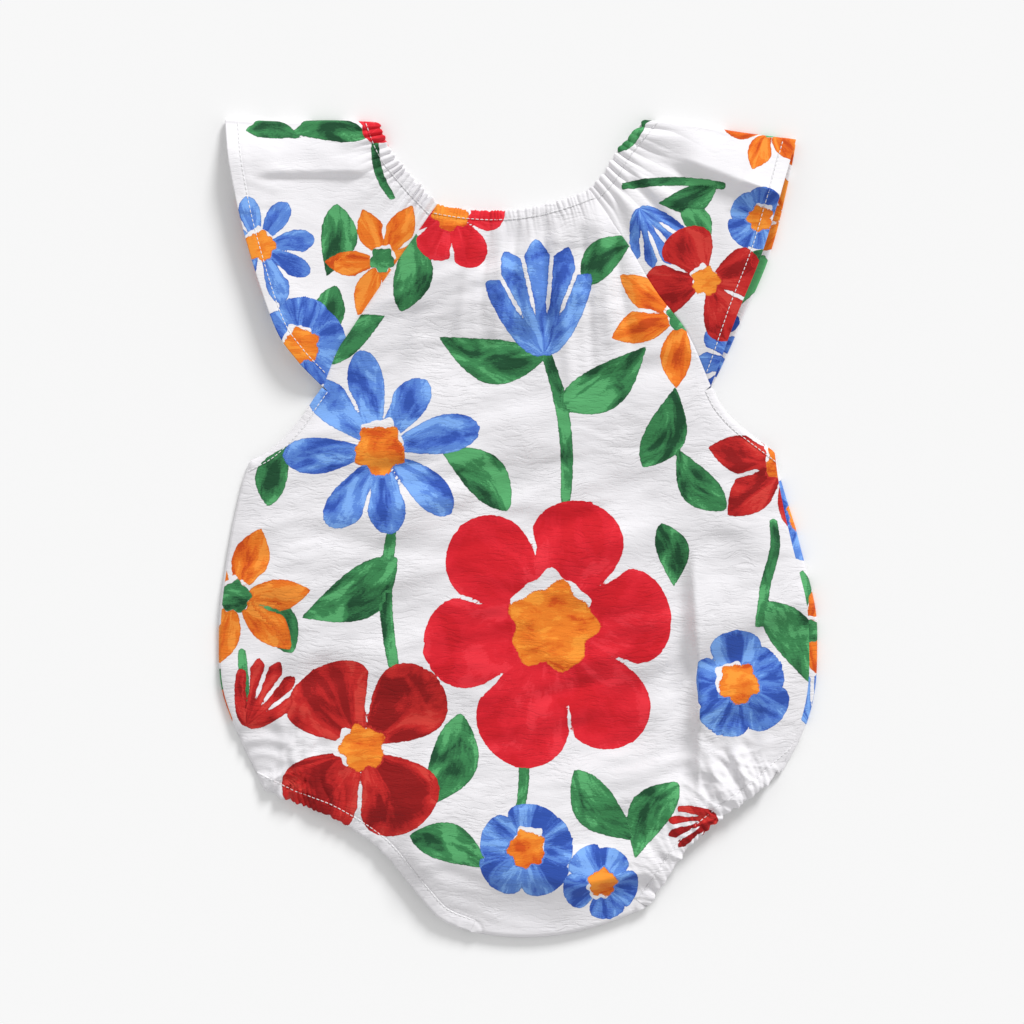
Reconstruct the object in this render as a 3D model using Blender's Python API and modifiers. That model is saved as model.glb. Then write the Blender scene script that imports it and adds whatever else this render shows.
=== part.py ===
"""A baby's bubble romper in printed crinkle cotton, lying flat on its back.

The body is a front and a back panel, narrow at an elasticated neck, full at the belly and drawn
in by elastic at both legs. Two raglan flutter sleeves are folded along the shoulder, so each has
an upper and an under layer. +X runs across the chest, +Y runs from crotch to neck and +Z is up
off the table. The origin is in the middle of the romper, on the table.
"""

import math

import bpy
import numpy as np

MM = 0.001
SIDES = {"left": 1, "right": -1}

# Cloth and seams, in millimetres like every size below.
CLOTH = 1.2
CASING_CLOTH = 1.8
GAP = 0.3
SLEEVE_GAP = 0.5
AIR = 0.3
NECK_CASING = 5.0
SLEEVE_CASING = 6.5
LEG_CASING = 6.0
SLEEVE_HEM = 6.5
ARMHOLE_HEM = 4.0
MITRE = 14.0
CASING_CROWN = 0.5

# How full the layers lie.
BODY_FULLNESS = 3.4
EDGE_ROLL = 24.0
SHOULDER_FOLD = 4.4
SLEEVE_FULLNESS = 1.6
SLEEVE_FALL = 0.35
SLEEVE_ROLL = 0.2
UNDER_DROP = 0.35

# Heights of the outer faces where the layers meet at an edge.
TOP_AT_EDGE = CLOTH + AIR + CLOTH
CASING_TOP = CLOTH + AIR + CASING_CLOTH

# The edges of the front, each from crotch to neck. Columns: x, y.
LEFT_EDGES = {
    "leg": ((-22, -187.3), (-36, -181), (-47, -169), (-64, -149), (-85, -135), (-105, -127), (-118, -121)),
    "side": ((-118, -121), (-128, -99), (-136.5, -76), (-138, -52), (-136, -26), (-129, 15), (-125, 30)),
    "armhole": ((-125, 30), (-115, 35.5), (-104, 46.5), (-96, 58), (-91, 65)),
    "raglan": ((-91, 65), (-84, 82), (-77.5, 92), (-58, 121), (-38, 150)),
}
RIGHT_EDGES = {
    "leg": ((59.5, -176), (66, -167), (73, -156), (82, -145), (95, -134), (109, -124), (122, -113)),
    "side": ((122, -113), (129, -96), (134, -77), (135, -56), (133.5, -35), (126, -4), (121, 20), (119, 35)),
    "armhole": ((119, 35), (109, 42.5), (101, 49), (94, 57), (90, 65)),
    "raglan": ((90, 65), (79, 90), (64, 110), (50, 133), (33.5, 157)),
}
CROTCH_DIP = 7.3
NECK_DIP = 6.0

# How far the back shows past the front at the sides. Columns: y, left, right.
BACK_PEEK = (
    (-121, 0.0, 0.0),
    (-90, 0.8, 3.4),
    (-40, 1.0, 4.2),
    (0, 1.0, 3.8),
    (30, 0.0, 0.6),
)

# The outer edges of the sleeves, which start at the neck or at the shoulder fold.
SLEEVES = {
    "left": {
        "neck": ((-65, 188), (-58.6, 174), (-48, 161), (-38, 150)),
        "shoulder": ((-65, 188), (-87, 189), (-111, 188.5), (-136, 190)),
        "hem": ((-136, 190), (-133, 166), (-126, 134), (-113, 94), (-103, 78), (-91, 65)),
        "peek": 1.0,
    },
    "right": {
        "neck": ((59, 189), (47, 176), (40.5, 165), (33.5, 157)),
        "shoulder": ((59, 189), (84, 186.5), (103, 183.5), (129, 180)),
        "hem": ((129, 180), (123, 160), (113, 127), (101, 97), (90, 65)),
        "peek": 3.6,
    },
}

# The largest folds, as soft ridges. Columns: x, y at each end, half width, height.
BODY_FOLDS = (
    (80, -22, 86, -118, 9, 2.2),
    (-102, -30, -96, -118, 10, 1.2),
    (-30, 138, -40, 60, 8, 1.3),
    (14, 140, 22, 62, 9, 1.2),
)
SLEEVE_FOLDS = {
    "left": ((-68, 174, -122, 172, 8, 1.8), (-62, 160, -116, 140, 9, 1.6), (-58, 148, -104, 104, 8, 1.2)),
    "right": ((62, 175, 122, 156, 9, 2.8), (54, 160, 110, 128, 9, 1.6), (48, 150, 96, 98, 8, 1.2)),
}

# Points along each edge of the front, and across it.
EDGE_POINTS = {"leg": 11, "side": 13, "armhole": 6, "raglan": 18}
PANEL_COLUMNS = 22
STRIP_COLUMNS = 3
SLEEVE_EDGE_POINTS = 40
SLEEVE_ROWS = 12
SLEEVE_COLUMNS = 13
FOLD_STEPS = 5

GROUND = (0.86, 0.84, 0.87)


def smooth_curve(points, count):
    """That many points, evenly spaced, on a smooth curve through a few."""
    points = np.array(points, float)
    before = 2 * points[0] - points[1]
    after = 2 * points[-1] - points[-2]
    knots = np.vstack([before, points, after])
    fine = []
    for i in range(1, len(knots) - 2):
        for t in np.linspace(0, 1, 24, endpoint=False):
            a, b, c, d = knots[i - 1 : i + 3]
            bend, turn = 2 * a - 5 * b + 4 * c - d, 3 * b - a - 3 * c + d
            fine.append((2 * b + (c - a) * t + bend * t**2 + turn * t**3) / 2)
    fine = np.vstack([fine, points[-1]])
    return evenly(fine, count)


def evenly(line, count):
    """A line of points resampled at equal steps along its length."""
    run = np.concatenate([[0], np.cumsum(np.linalg.norm(np.diff(line, axis=0), axis=1))])
    wanted = np.linspace(0, run[-1], count)
    return np.column_stack([np.interp(wanted, run, line[:, k]) for k in (0, 1)])


def inward(edge, side):
    """Unit normals of an edge, to its right where side is 1 and to its left where it is -1."""
    along = np.gradient(edge, axis=0)
    along /= np.linalg.norm(along, axis=1)[:, None]
    return side * np.column_stack([along[:, 1], -along[:, 0]])


def inner_line(edge, width, side, start=None, end=None):
    """The line that lies a width inside an edge. start and end turn its ends along the seams there."""
    normals = inward(edge, side)
    run = np.concatenate([[0], np.cumsum(np.linalg.norm(np.diff(edge, axis=0), axis=1))])
    across = normals.copy()
    for direction, distance, at in ((start, run, 0), (end, run[-1] - run, -1)):
        if direction is None:
            continue
        unit = np.array(direction, float) / np.linalg.norm(direction)
        unit /= max(0.3, unit @ normals[at])
        share = np.clip(1 - distance / MITRE, 0, 1)[:, None] ** 2
        across = across * (1 - share) + unit * share
    return edge + across * width


def ridges(x, y, folds):
    """The summed height of soft ridges over points."""
    height = np.zeros_like(x)
    for x0, y0, x1, y1, half_width, rise in folds:
        length = math.hypot(x1 - x0, y1 - y0)
        ux, uy = (x1 - x0) / length, (y1 - y0) / length
        along = ((x - x0) * ux + (y - y0) * uy) / length
        across = (y - y0) * ux - (x - x0) * uy
        ends = np.clip(np.minimum(along, 1 - along) * 4 + 0.2, 0, 1)
        height += rise * ends * np.exp(-((across / half_width) ** 2))
    return height


class Body:
    """The front or the back: its edges, and the lines where its casings and hems begin."""

    def __init__(self, peeks):
        self.edges = {}
        for name, table in (("left", LEFT_EDGES), ("right", RIGHT_EDGES)):
            self.edges[name] = {key: smooth_curve(points, EDGE_POINTS[key]) for key, points in table.items()}
        if peeks:
            y, left, right = np.array(BACK_PEEK, float).T
            seam = self.edges["left"]["side"]
            seam[:, 0] -= np.interp(seam[:, 1], y, left)
            seam = self.edges["right"]["side"]
            seam[:, 0] += np.interp(seam[:, 1], y, right)

    def inner(self, name, key, width):
        """The inner line of a casing or a hem. At the side seam it ends on that seam."""
        edges, turn = self.edges[name], SIDES[name]
        if key == "leg":
            return inner_line(edges["leg"], width, turn, None, edges["side"][1] - edges["side"][0])
        return inner_line(edges["armhole"], width, turn, edges["side"][-2] - edges["side"][-1])

    def neck_line(self, depth):
        """The neck edge, from left to right, or a line that lies a depth below it."""
        left, right = self.edges["left"]["raglan"], self.edges["right"]["raglan"]
        edge = dipping(left[-1], right[-1], NECK_DIP, PANEL_COLUMNS)
        return inner_line(edge, depth, 1, left[-2] - left[-1], right[-2] - right[-1])

    def outline(self, name):
        """One side of the panel without its casings and hems, from the crotch to the neck casing."""
        edges = self.edges[name]
        leg = self.inner(name, "leg", LEG_CASING + GAP)
        armhole = self.inner(name, "armhole", ARMHOLE_HEM + GAP)
        side = edges["side"]
        side = side[(side[:, 1] > leg[-1, 1] + 3) & (side[:, 1] < armhole[0, 1] - 3)]
        side = evenly(np.vstack([leg[-1], side, armhole[0]]), EDGE_POINTS["side"])
        neck = self.neck_line(NECK_CASING + GAP)[0 if name == "left" else -1]
        raglan = edges["raglan"]
        above = raglan[1] - raglan[0]
        above *= GAP / np.linalg.norm(above)
        raglan = np.vstack([raglan[0] + above, raglan[1:-2], neck])
        armhole[-1] += above
        clear = edges["leg"][0] - edges["leg"][1]
        clear *= GAP / np.linalg.norm(clear)
        return np.vstack([edges["leg"][0] + clear, leg[0] + clear, leg[1:], side[1:], armhole[1:], raglan])

    def panel(self):
        """The rows of points of the panel, from crotch to neck casing."""
        grid = loft(self.outline("left"), self.outline("right"), PANEL_COLUMNS, CROTCH_DIP, NECK_DIP)
        grid[-1] = self.neck_line(NECK_CASING + GAP)
        return grid


def dipping(left, right, dip, count):
    """A line between two points that hangs lowest in the middle."""
    share = np.linspace(0, 1, count)[:, None]
    line = left + (right - left) * share
    line[:, 1] -= dip * (4 * share * (1 - share))[:, 0]
    return line


def loft(left, right, columns, bottom_dip, top_dip):
    """Rows of points between a left and a right line. The lowest and the highest rows are bowed."""
    rows = []
    height = np.linspace(0, 1, len(left))
    for share, a, b in zip(height, left, right):
        low = bottom_dip * max(0, 1 - share / 0.3) ** 2
        high = top_dip * max(0, (share - 0.7) / 0.3) ** 2
        rows.append(dipping(a, b, low + high, columns))
    return np.array(rows)


def surface(name, grid, heights, face_up, wall):
    """A node: a wall of cloth inside an outer face that is given as rows of points and heights."""
    rows, columns = grid.shape[:2]
    points = np.dstack([grid, heights]).reshape(-1, 3) * MM
    faces = []
    for i in range(rows - 1):
        for j in range(columns - 1):
            a = i * columns + j
            face = (a, a + 1, a + columns + 1, a + columns)
            faces.append(face if face_up else face[::-1])
    mesh = bpy.data.meshes.new(name)
    mesh.from_pydata(points.tolist(), [], faces)
    mesh.shade_smooth()
    mesh.materials.append(cotton(name))
    obj = bpy.data.objects.new(name, mesh)
    romper.objects.link(obj)
    shell = obj.modifiers.new("Cloth", "SOLIDIFY")
    shell.thickness = wall * MM
    shell.offset = -1
    return obj


def cotton(name):
    """Plain woven cotton for one piece."""
    material = bpy.data.materials.new(name)
    material.use_nodes = True
    shader = material.node_tree.nodes["Principled BSDF"]
    shader.inputs["Base Color"].default_value = (*GROUND, 1)
    shader.inputs["Roughness"].default_value = 0.85
    shader.inputs["Metallic"].default_value = 0
    return material


def edge_roll(distance, width):
    """0 at an edge of the cloth, 1 where the layers lie at their full height."""
    return np.sin(np.clip(distance / width, 0, 1) * math.pi / 2)


def panel_heights(grid):
    """The outer face of the front: low at its seams, full in the middle, with its folds."""
    x, y = grid[..., 0], grid[..., 1]
    from_left = x - grid[:, :1, 0]
    from_right = grid[:, -1:, 0] - x
    from_ends = np.minimum(y - y[:1].max(), y[-1:].min() - y)
    roll = edge_roll(from_left, EDGE_ROLL) * edge_roll(from_right, EDGE_ROLL)
    roll *= edge_roll(np.maximum(from_ends, 0), EDGE_ROLL)
    return TOP_AT_EDGE + roll * (BODY_FULLNESS + ridges(x, y, BODY_FOLDS))


def make_body(body, layer):
    """One layer of the body: its panel, the casings at neck and legs, and the armhole hems."""
    grid = body.panel()
    if layer == "front":
        surface("front_panel", grid, panel_heights(grid), True, CLOTH)
    else:
        surface("back_panel", grid, np.zeros(grid.shape[:2]), False, CLOTH)
    strip(f"neck_casing_{layer}", body.neck_line(NECK_CASING), body.neck_line(0), layer, False)
    for name, turn in SIDES.items():
        for node, key, width in (("leg_casing", "leg", LEG_CASING), ("armhole_hem", "armhole", ARMHOLE_HEM)):
            inner = body.inner(name, key, width)
            strip(f"{node}_{name}_{layer}", body.edges[name][key], inner, layer, turn > 0)


def strip(name, outer, inner, layer, face_up):
    """A casing or a hem between two lines. One in front is rounded on top, one at the back is flat below."""
    share = np.linspace(0, 1, STRIP_COLUMNS)[None, :]
    grid = outer[:, None] + (inner - outer)[:, None] * share[..., None]
    if layer == "back":
        return surface(name, grid, np.zeros(grid.shape[:2]), not face_up, CLOTH)
    heights = np.broadcast_to(CASING_TOP + CASING_CROWN * np.sin(share * math.pi), grid.shape[:2])
    return surface(name, grid, heights, face_up, CASING_CLOTH)


def along(line, share):
    """The point at a share of a line."""
    place = np.linspace(0, 1, len(line))
    return np.array([np.interp(share, place, line[:, k]) for k in (0, 1)])


class Sleeve:
    """A sleeve folded along the shoulder: its plan is a patch between the neck, the shoulder fold,
    the hem and the raglan seam. u runs from neck to hem, v from the fold to the seam."""

    def __init__(self, name, seam):
        self.name, self.side, self.peek = name, SIDES[name], SLEEVES[name]["peek"]
        self.raglan = (seam - inward(seam, self.side) * SLEEVE_GAP)[::-1]
        self.neck, self.shoulder, self.hem = (
            smooth_curve(SLEEVES[name][key], SLEEVE_EDGE_POINTS) for key in ("neck", "shoulder", "hem")
        )
        late = np.linspace(0, 1, SLEEVE_EDGE_POINTS)[:, None] ** 6
        self.neck += (self.raglan[0] - self.neck[-1]) * late
        self.hem += (self.raglan[-1] - self.hem[-1]) * late

    def plan(self, u, v):
        """x, y of a point of the patch."""
        ruled = (1 - u) * along(self.neck, v) + u * along(self.hem, v)
        ruled += (1 - v) * along(self.shoulder, u) + v * along(self.raglan, u)
        at_fold = (1 - u) * self.shoulder[0] + u * self.shoulder[-1]
        at_seam = (1 - u) * self.raglan[0] + u * self.raglan[-1]
        return ruled - (1 - v) * at_fold - v * at_seam

    def u_at(self, v, distance):
        """u at a distance from the neck, or from the hem if that is negative."""
        reach = np.linalg.norm(self.plan(1.0, v) - self.plan(0.0, v))
        return (distance if distance >= 0 else reach + distance) / reach

    def under(self, u, share):
        """The under layer. It lies on the table and reaches past the upper hem."""
        start = self.fold_v(u)
        v = start + (1 - start) * share
        x, y = self.plan(u, v)
        out = self.peek * u**2 * math.sin(math.pi * v) ** 0.7
        return x - self.side * out, y - UNDER_DROP * out, 0.0

    def fold(self, u, turn):
        """The roll of the shoulder fold."""
        v = self.fold_v(u) * (1 - math.sin(turn * math.pi))
        return (*self.plan(u, v), SHOULDER_FOLD / 2 * (1 - math.cos(turn * math.pi)))

    def upper(self, u, share):
        """The upper layer. It falls from the fold to the seam, and lies full between them."""
        start = self.fold_v(u)
        v = start + (1 - start) * share
        x, y = self.plan(u, v)
        height = SHOULDER_FOLD + (TOP_AT_EDGE - SHOULDER_FOLD) * edge_roll(share, SLEEVE_FALL)
        room = edge_roll(1 - v, SLEEVE_ROLL) * edge_roll(share, SLEEVE_ROLL)
        return x, y, height + room * (SLEEVE_FULLNESS + ridges(x, y, SLEEVE_FOLDS[self.name]))

    def fold_v(self, u):
        """v where the flat of a layer meets the roll of the fold."""
        return SHOULDER_FOLD / 2 / np.linalg.norm(self.plan(u, 1.0) - self.plan(u, 0.0))

    def rows(self, columns, start, end):
        """Points of the outer face, from the under seam round the fold to the upper one."""
        flat = np.linspace(0, 1, SLEEVE_ROWS)
        section = [(self.under, share) for share in flat[::-1]]
        section += [(self.fold, turn) for turn in np.linspace(0, 1, FOLD_STEPS + 2)[1:-1]]
        section += [(self.upper, share) for share in flat]
        rows = []
        for layer, share in section:
            v = 0.0 if layer == self.fold else share
            first = self.u_at(v, start)
            last = 1.0 if end == 0 else self.u_at(v, end)
            rows.append([layer(u, share) for u in np.linspace(first, last, columns)])
        return np.array(rows)

    def make(self):
        for node, start, end, columns in (
            (f"neck_casing_{self.name}", 0.0, SLEEVE_CASING, STRIP_COLUMNS),
            (f"sleeve_{self.name}", SLEEVE_CASING + SLEEVE_GAP, -SLEEVE_HEM - SLEEVE_GAP, SLEEVE_COLUMNS),
            (f"sleeve_hem_{self.name}", -SLEEVE_HEM, 0.0, STRIP_COLUMNS),
        ):
            rows = self.rows(columns, start, end)
            surface(node, rows[..., :2], rows[..., 2], self.side > 0, CLOTH)


def start_collection(name):
    """An empty scene with one collection for the romper."""
    for old in list(bpy.data.objects):
        bpy.data.objects.remove(old, do_unlink=True)
    collection = bpy.data.collections.new(name)
    bpy.context.scene.collection.children.link(collection)
    return collection


romper = start_collection("bubble_romper")
front = Body(peeks=False)
make_body(front, "front")
make_body(Body(peeks=True), "back")
for name in SIDES:
    Sleeve(name, front.edges[name]["raglan"]).make()
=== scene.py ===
"""The looks of a baby's bubble romper, lying flat: thin shells of printed crinkle cotton on the CAD
solids' form, gathered on elastic at neck and legs, with their hems, stitches and soft folds.

Lengths are millimetres, and MM turns them into the frame's metres. +X runs across the chest, +Y from
crotch to neck, +Z up off the table. The edges of the pieces are the CAD model's own.
"""

import math

import bpy
import numpy as np
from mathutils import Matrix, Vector
from mathutils.bvhtree import BVHTree


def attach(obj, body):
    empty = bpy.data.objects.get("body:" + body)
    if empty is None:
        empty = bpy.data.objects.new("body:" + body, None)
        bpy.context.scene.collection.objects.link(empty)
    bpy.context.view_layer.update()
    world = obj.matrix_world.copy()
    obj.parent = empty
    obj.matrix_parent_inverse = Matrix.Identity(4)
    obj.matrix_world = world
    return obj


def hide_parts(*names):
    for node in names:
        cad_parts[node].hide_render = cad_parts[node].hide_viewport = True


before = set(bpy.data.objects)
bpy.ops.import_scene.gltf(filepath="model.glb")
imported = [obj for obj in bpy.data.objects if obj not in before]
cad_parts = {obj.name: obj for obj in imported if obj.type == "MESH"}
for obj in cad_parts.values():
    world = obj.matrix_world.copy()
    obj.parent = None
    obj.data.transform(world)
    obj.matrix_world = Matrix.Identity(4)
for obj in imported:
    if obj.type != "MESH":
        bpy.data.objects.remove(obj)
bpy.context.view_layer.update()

MM = 0.001
SIDES = {"left": 1, "right": -1}      # the way in x from each side to the middle
FINE = 1.0     # share of the points that is built

# ---- edges of the pieces, as in the CAD

# How wide the casings and hems are.
WIDTH = {"neck": 5.0, "leg": 6.0, "armhole": 4.0, "sleeve_casing": 6.5, "sleeve_hem": 6.5}
MITRE = 14.0          # length over which an inner line turns to meet a seam
CROTCH_DIP = 7.3      # by which the middle of the crotch hangs lower than its ends
NECK_DIP = 6.0        # the same at the neck

# Each edge runs from crotch to neck. Columns: x, y.
EDGES = {
    "left": {
        "leg": (
            (-22, -187.3), (-36, -181), (-47, -169), (-64, -149), (-85, -135), (-105, -127),
            (-118, -121),
        ),
        "side": (
            (-118, -121), (-128, -99), (-136.5, -76), (-138, -52), (-136, -26), (-129, 15),
            (-125, 30),
        ),
        "armhole": ((-125, 30), (-115, 35.5), (-104, 46.5), (-96, 58), (-91, 65)),
        "raglan": ((-91, 65), (-84, 82), (-77.5, 92), (-58, 121), (-38, 150)),
    },
    "right": {
        "leg": (
            (59.5, -176), (66, -167), (73, -156), (82, -145), (95, -134), (109, -124), (122, -113),
        ),
        "side": (
            (122, -113), (129, -96), (134, -77), (135, -56), (133.5, -35), (126, -4), (121, 20),
            (119, 35),
        ),
        "armhole": ((119, 35), (109, 42.5), (101, 49), (94, 57), (90, 65)),
        "raglan": ((90, 65), (79, 90), (64, 110), (50, 133), (33.5, 157)),
    },
}
# How far the back rolls round past the front at the sides. Columns: y, left, right.
BACK_PEEK = ((-121, 0.0, 0.0), (-90, 0.8, 3.4), (-40, 1.0, 4.2), (0, 1.0, 3.8), (30, 0.0, 0.6))
# peek is how far the under layer reaches past the upper hem.
SLEEVES = {
    "left": {
        "neck": ((-65, 188), (-58.6, 174), (-48, 161), (-38, 150)),
        "shoulder": ((-65, 188), (-87, 189), (-111, 188.5), (-136, 190)),
        "hem": ((-136, 190), (-133, 166), (-126, 134), (-113, 94), (-103, 78), (-91, 65)),
        "peek": 0.2,
    },
    "right": {
        "neck": ((59, 189), (47, 176), (40.5, 165), (33.5, 157)),
        "shoulder": ((59, 189), (84, 186.5), (103, 183.5), (129, 180)),
        "hem": ((129, 180), (123, 160), (113, 127), (101, 97), (90, 65)),
        "peek": 3.6,
    },
}

# ---- how finely the cloth is built

# Points along each edge of a layer, and across its panel.
FRONT_POINTS = {"leg": 190, "side": 110, "armhole": 40, "raglan": 100, "neck": 220, "across": 206}
BACK_POINTS = {"leg": 150, "side": 90, "armhole": 36, "raglan": 70, "neck": 150, "across": 150}
SLEEVE_ROWS = (70, 16, 150)           # of the under layer, of the fold and of the upper layer
SLEEVE_COLUMNS = 150
SLEEVE_EDGE_POINTS = 80
LINE_POINTS, CROTCH_POINTS = 60, 40   # of the lines that distances are measured from
CURVE_STEPS = 24                      # between two points of a table
# Places of the columns: next to the edge of a panel, across a border, across the back's strips.
ROLL_SHARES = np.array((0, 0.0006, 0.0016, 0.003, 0.0048))
BORDER_SHARES = np.array((0, 0.015, 0.045, 0.09, 0.15, 0.24, 0.36, 0.5, 0.64, 0.78, 0.9, 1))
STRIP_SHARES = np.array((0, 0.03, 0.08, 0.16, 0.28, 0.42, 0.58, 0.76, 1))

# ---- heights, folds and gathers

TABLE_GAP = 0.5       # under the lowest cloth, where its stitches are
SEAM_TOP = 2.7        # outer face of the front along its seams
BODY_FULLNESS = 3.2
EDGE_ROLL = 26.0      # width over which the front rises to its fullness
SIDE_ROUND = 1.3      # radius of the roll at the side seams
SHOULDER_FOLD = 4.4
SLEEVE_FULLNESS = 1.5
HEM_THICK = 0.9
CASING_THICK = 1.6
BACK_THICK = 1.2
THINNEST = 0.15       # of a casing of the front that is pressed on those of the back
FRONT_FLOOR = 1.55    # lowest place of the front's casings, above those of the back
BACK_CEILING = 1.45
LIFT_LIMIT = 0.9      # most that the gathers lift the back
UNDER_LIMIT = 0.8     # most that they lift the under layer of a sleeve
TUCK = 0.5            # of a panel under its casings
SEAM_TUCK = 1.0       # of the cloth under the edge of the front at a seam
LEDGE = 0.1           # by which a casing stands over the panel
STITCH_IN = 0.6       # of the stitches from the inner edge of a casing or a hem
# How deep those stitches pull the cloth in.
DENT = {"neck": 0.1, "leg": 0.35, "armhole": 0.25, "sleeve_casing": 0.35, "sleeve_hem": 0.25}
DENT_WIDTH = 0.7
SCALLOP = 0.8         # share of a gather's height by which it pushes the edge out
SCALLOP_SPAN = 12     # points on either side whose mean height is level for the scallops
TAPER = 9.0           # length over which a leg casing grows to its thickness at the crotch
# Heights between which the front keeps its height, and the most it reaches below and above them.
LOOSE, PRESSED = (3.0, 9.5), (1.3, 4.6)

# Soft folds that hang from the neck. Columns: x, y at the start and at the end, half width, rise.
NECK_FOLDS = (
    (-34, 150, -50, 66, 5.0, 1.3), (-21, 148, -27, 76, 3.0, 1.1), (-15, 146, -17, 88, 2.2, -0.9),
    (-9, 146, -9, 66, 3.0, 1.2), (-2, 145, -2, 92, 1.8, -0.9), (5, 145, 6, 84, 2.8, 1.2),
    (12, 145, 14, 76, 2.0, -1.3), (19, 147, 24, 52, 3.6, 1.5), (28, 148, 36, 66, 2.4, -1.2),
    (35, 150, 46, 76, 3.4, 1.2), (42, 142, 54, 80, 2.4, -1.0), (48, 134, 62, 84, 3.4, 0.9),
)
# Long soft folds of the rest of the front. Columns: as above.
BODY_FOLDS = (
    (-101, 8, -34, 9, 7.0, 1.0), (-102, -3, -20, -14, 5.0, -1.1), (6, -6, 68, 25, 4.5, -1.3),
    (0, 8, 60, 38, 8.0, 0.9), (-42, -53, 14, -57, 9.0, -1.5), (-58, -32, 12, -30, 9.0, 0.8),
    (-6, -82, 54, -68, 3.0, -0.7), (4, -92, 60, -80, 5.0, 0.7), (-104, -66, -40, -84, 8.0, -1.0),
    (-112, -30, -70, -44, 7.0, 0.8), (92, 20, 124, 28, 5.0, -0.9), (92, -2, 126, -12, 6.0, 0.9),
    (-102, -30, -97, -112, 6.0, 1.2), (-113, -78, -101, -118, 3.0, 1.1),
    (-92, -96, -88, -122, 3.0, -0.6), (-46, -156, 16, -172, 4.0, -1.6),
    (-40, -172, 12, -186, 3.0, 1.6), (-20, -152, 40, -166, 3.0, 1.2),
    (98, -88, 104, -118, 4.0, 1.2), (110, -70, 116, -108, 4.5, 1.0), (88, -104, 97, -131, 2.2, 1.6),
    (93, -106, 106, -124, 1.8, -1.6), (98, -104, 111, -127, 2.2, 1.5),
    (84, -112, 90, -137, 1.8, -1.4), (70, -132, 78, -150, 2.2, 1.4),
    (56, -140, 70, -158, 2.0, -1.3), (66, -157, 31, -165, 2.4, 1.8),
    (58, -163, 24, -171, 2.0, -1.4),
)
# Pressed folds over the crotch. Columns: x, y at the start and at the end, rise, steep and slow widths.
CROTCH_CREASES = (
    (-62, -147, 36, -158, 6.6, 30.0, 34.0), (67, -155, 20, -166, 2.2, 10.0, 9.0),
)
# The pleat on the right of the belly: the cloth on its right lies over the cloth on its left.
# It rises over the step from the foot, keeps its height up to the crest and falls over the width.
PLEAT = {
    "x": 80.5, "lean": -0.02, "wander": 0.8, "top": -4.0, "bottom": -122.0, "rise": 2.6, "depth": 3.1,
    "step": 7.0, "foot": 6.0, "crest": 1.4, "width": 15.0, "hollow": 8.0, "tuck": 5.0,
}
CROTCH_SLOPE = 36.0   # over which the front falls to the fold of the crotch
CROTCH_LIFT = 1.8     # by which that fold stands off the table, and how far around that is felt
CROTCH_LIFT_REACH = 60.0
CROTCH_ROUND = 2.2    # radius of its roll
CROTCH_OVERLAP = 0.55 # by which the back's edge there stands up behind the roll

# How strongly the elastic draws the cloth in along a leg, from the crotch to the side.
# Columns: share of the edge, height of the gathers, how far they run into the panel.
LEG_PULL = {
    "left": ((0, 0.3, 8), (0.3, 0.3, 9), (0.6, 0.5, 12), (0.8, 1.3, 26), (1, 1.6, 34)),
    "right": (
        (0, 0.9, 10), (0.3, 1.1, 16), (0.55, 1.1, 18), (0.7, 1.5, 32), (0.9, 1.5, 36), (1, 1.1, 26),
    ),
}
# Spacing of the gathers of a leg, and by how much its elastic lifts the edge of the front.
LEG_LOOKS = {
    "left": {"ridge": 2.8, "seed": 11, "lift": 1.6},
    "right": {"ridge": 4.0, "seed": 23, "lift": 3.0},
}
LEG_SHARE, LEG_STRAY = 0.8, 0.8       # of the gathers' height, and how far they stray aside
EDGE_LIFT_REACH = 12.0
NECK_PULL, NECK_RIDGE, NECK_REACH = 0.75, 1.9, 10.0
NECK_SEEDS = {"front": 3, "back": 9}
# The back is gathered as the front is, by this share of the height and shifted along its edges.
BACK_SHARE, BACK_LEG_SHIFT, BACK_NECK_SHIFT = 0.5, 3, 2
# Small puckers along a hem or a seam. Columns: height, spacing, drift, how far they reach, seed.
PUCKERS = {
    "armhole": (0.12, 5.0, 9, 5.0, 51),
    "raglan": (0.12, 4.5, 9, 3.5, 31),
    "side": (0.16, 7.0, 12, 5.0, 37),
}
# Unevenness of the cloth. Columns: height, size along x, size along y, seed.
FRONT_PUFFS = ((2.9, 50, 22, 41), (1.4, 30, 11, 43), (0.5, 15, 5.6, 44))
FRONT_CREASES = ((0.2, 9.5, 3.0, 47), (0.1, 5.5, 1.9, 49))
BACK_PUFFS = ((0.12, 28, 30, 61), (0.06, 12, 3.4, 63))
SLEEVE_PUFFS = ((0.3, 16, 22, 71),)
SLEEVE_WRINKLES = ((0.08, 9, 3.2, 73),)
UNDER_PUFFS = ((0.12, 20, 20, 75),)
# pull, ridge and reach are the height, spacing and length of the gathers at the neck. flare is how
# high the upper layer stands at its hem, and curl how high the under layer does.
SLEEVE_LOOKS = {
    "left": {"pull": 2.6, "ridge": 3.1, "reach": 13.0, "seed": 101, "flare": 5.6, "curl": 0.0},
    "right": {"pull": 2.0, "ridge": 3.8, "reach": 22.0, "seed": 131, "flare": 1.2, "curl": 1.8},
}
FLARE_REACH, CURL_REACH = 45.0, 4.5   # from the hem, over which they fall
SLEEVE_STEEP = 0.16   # share of the way round or down a sleeve over which its upper layer rises
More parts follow.
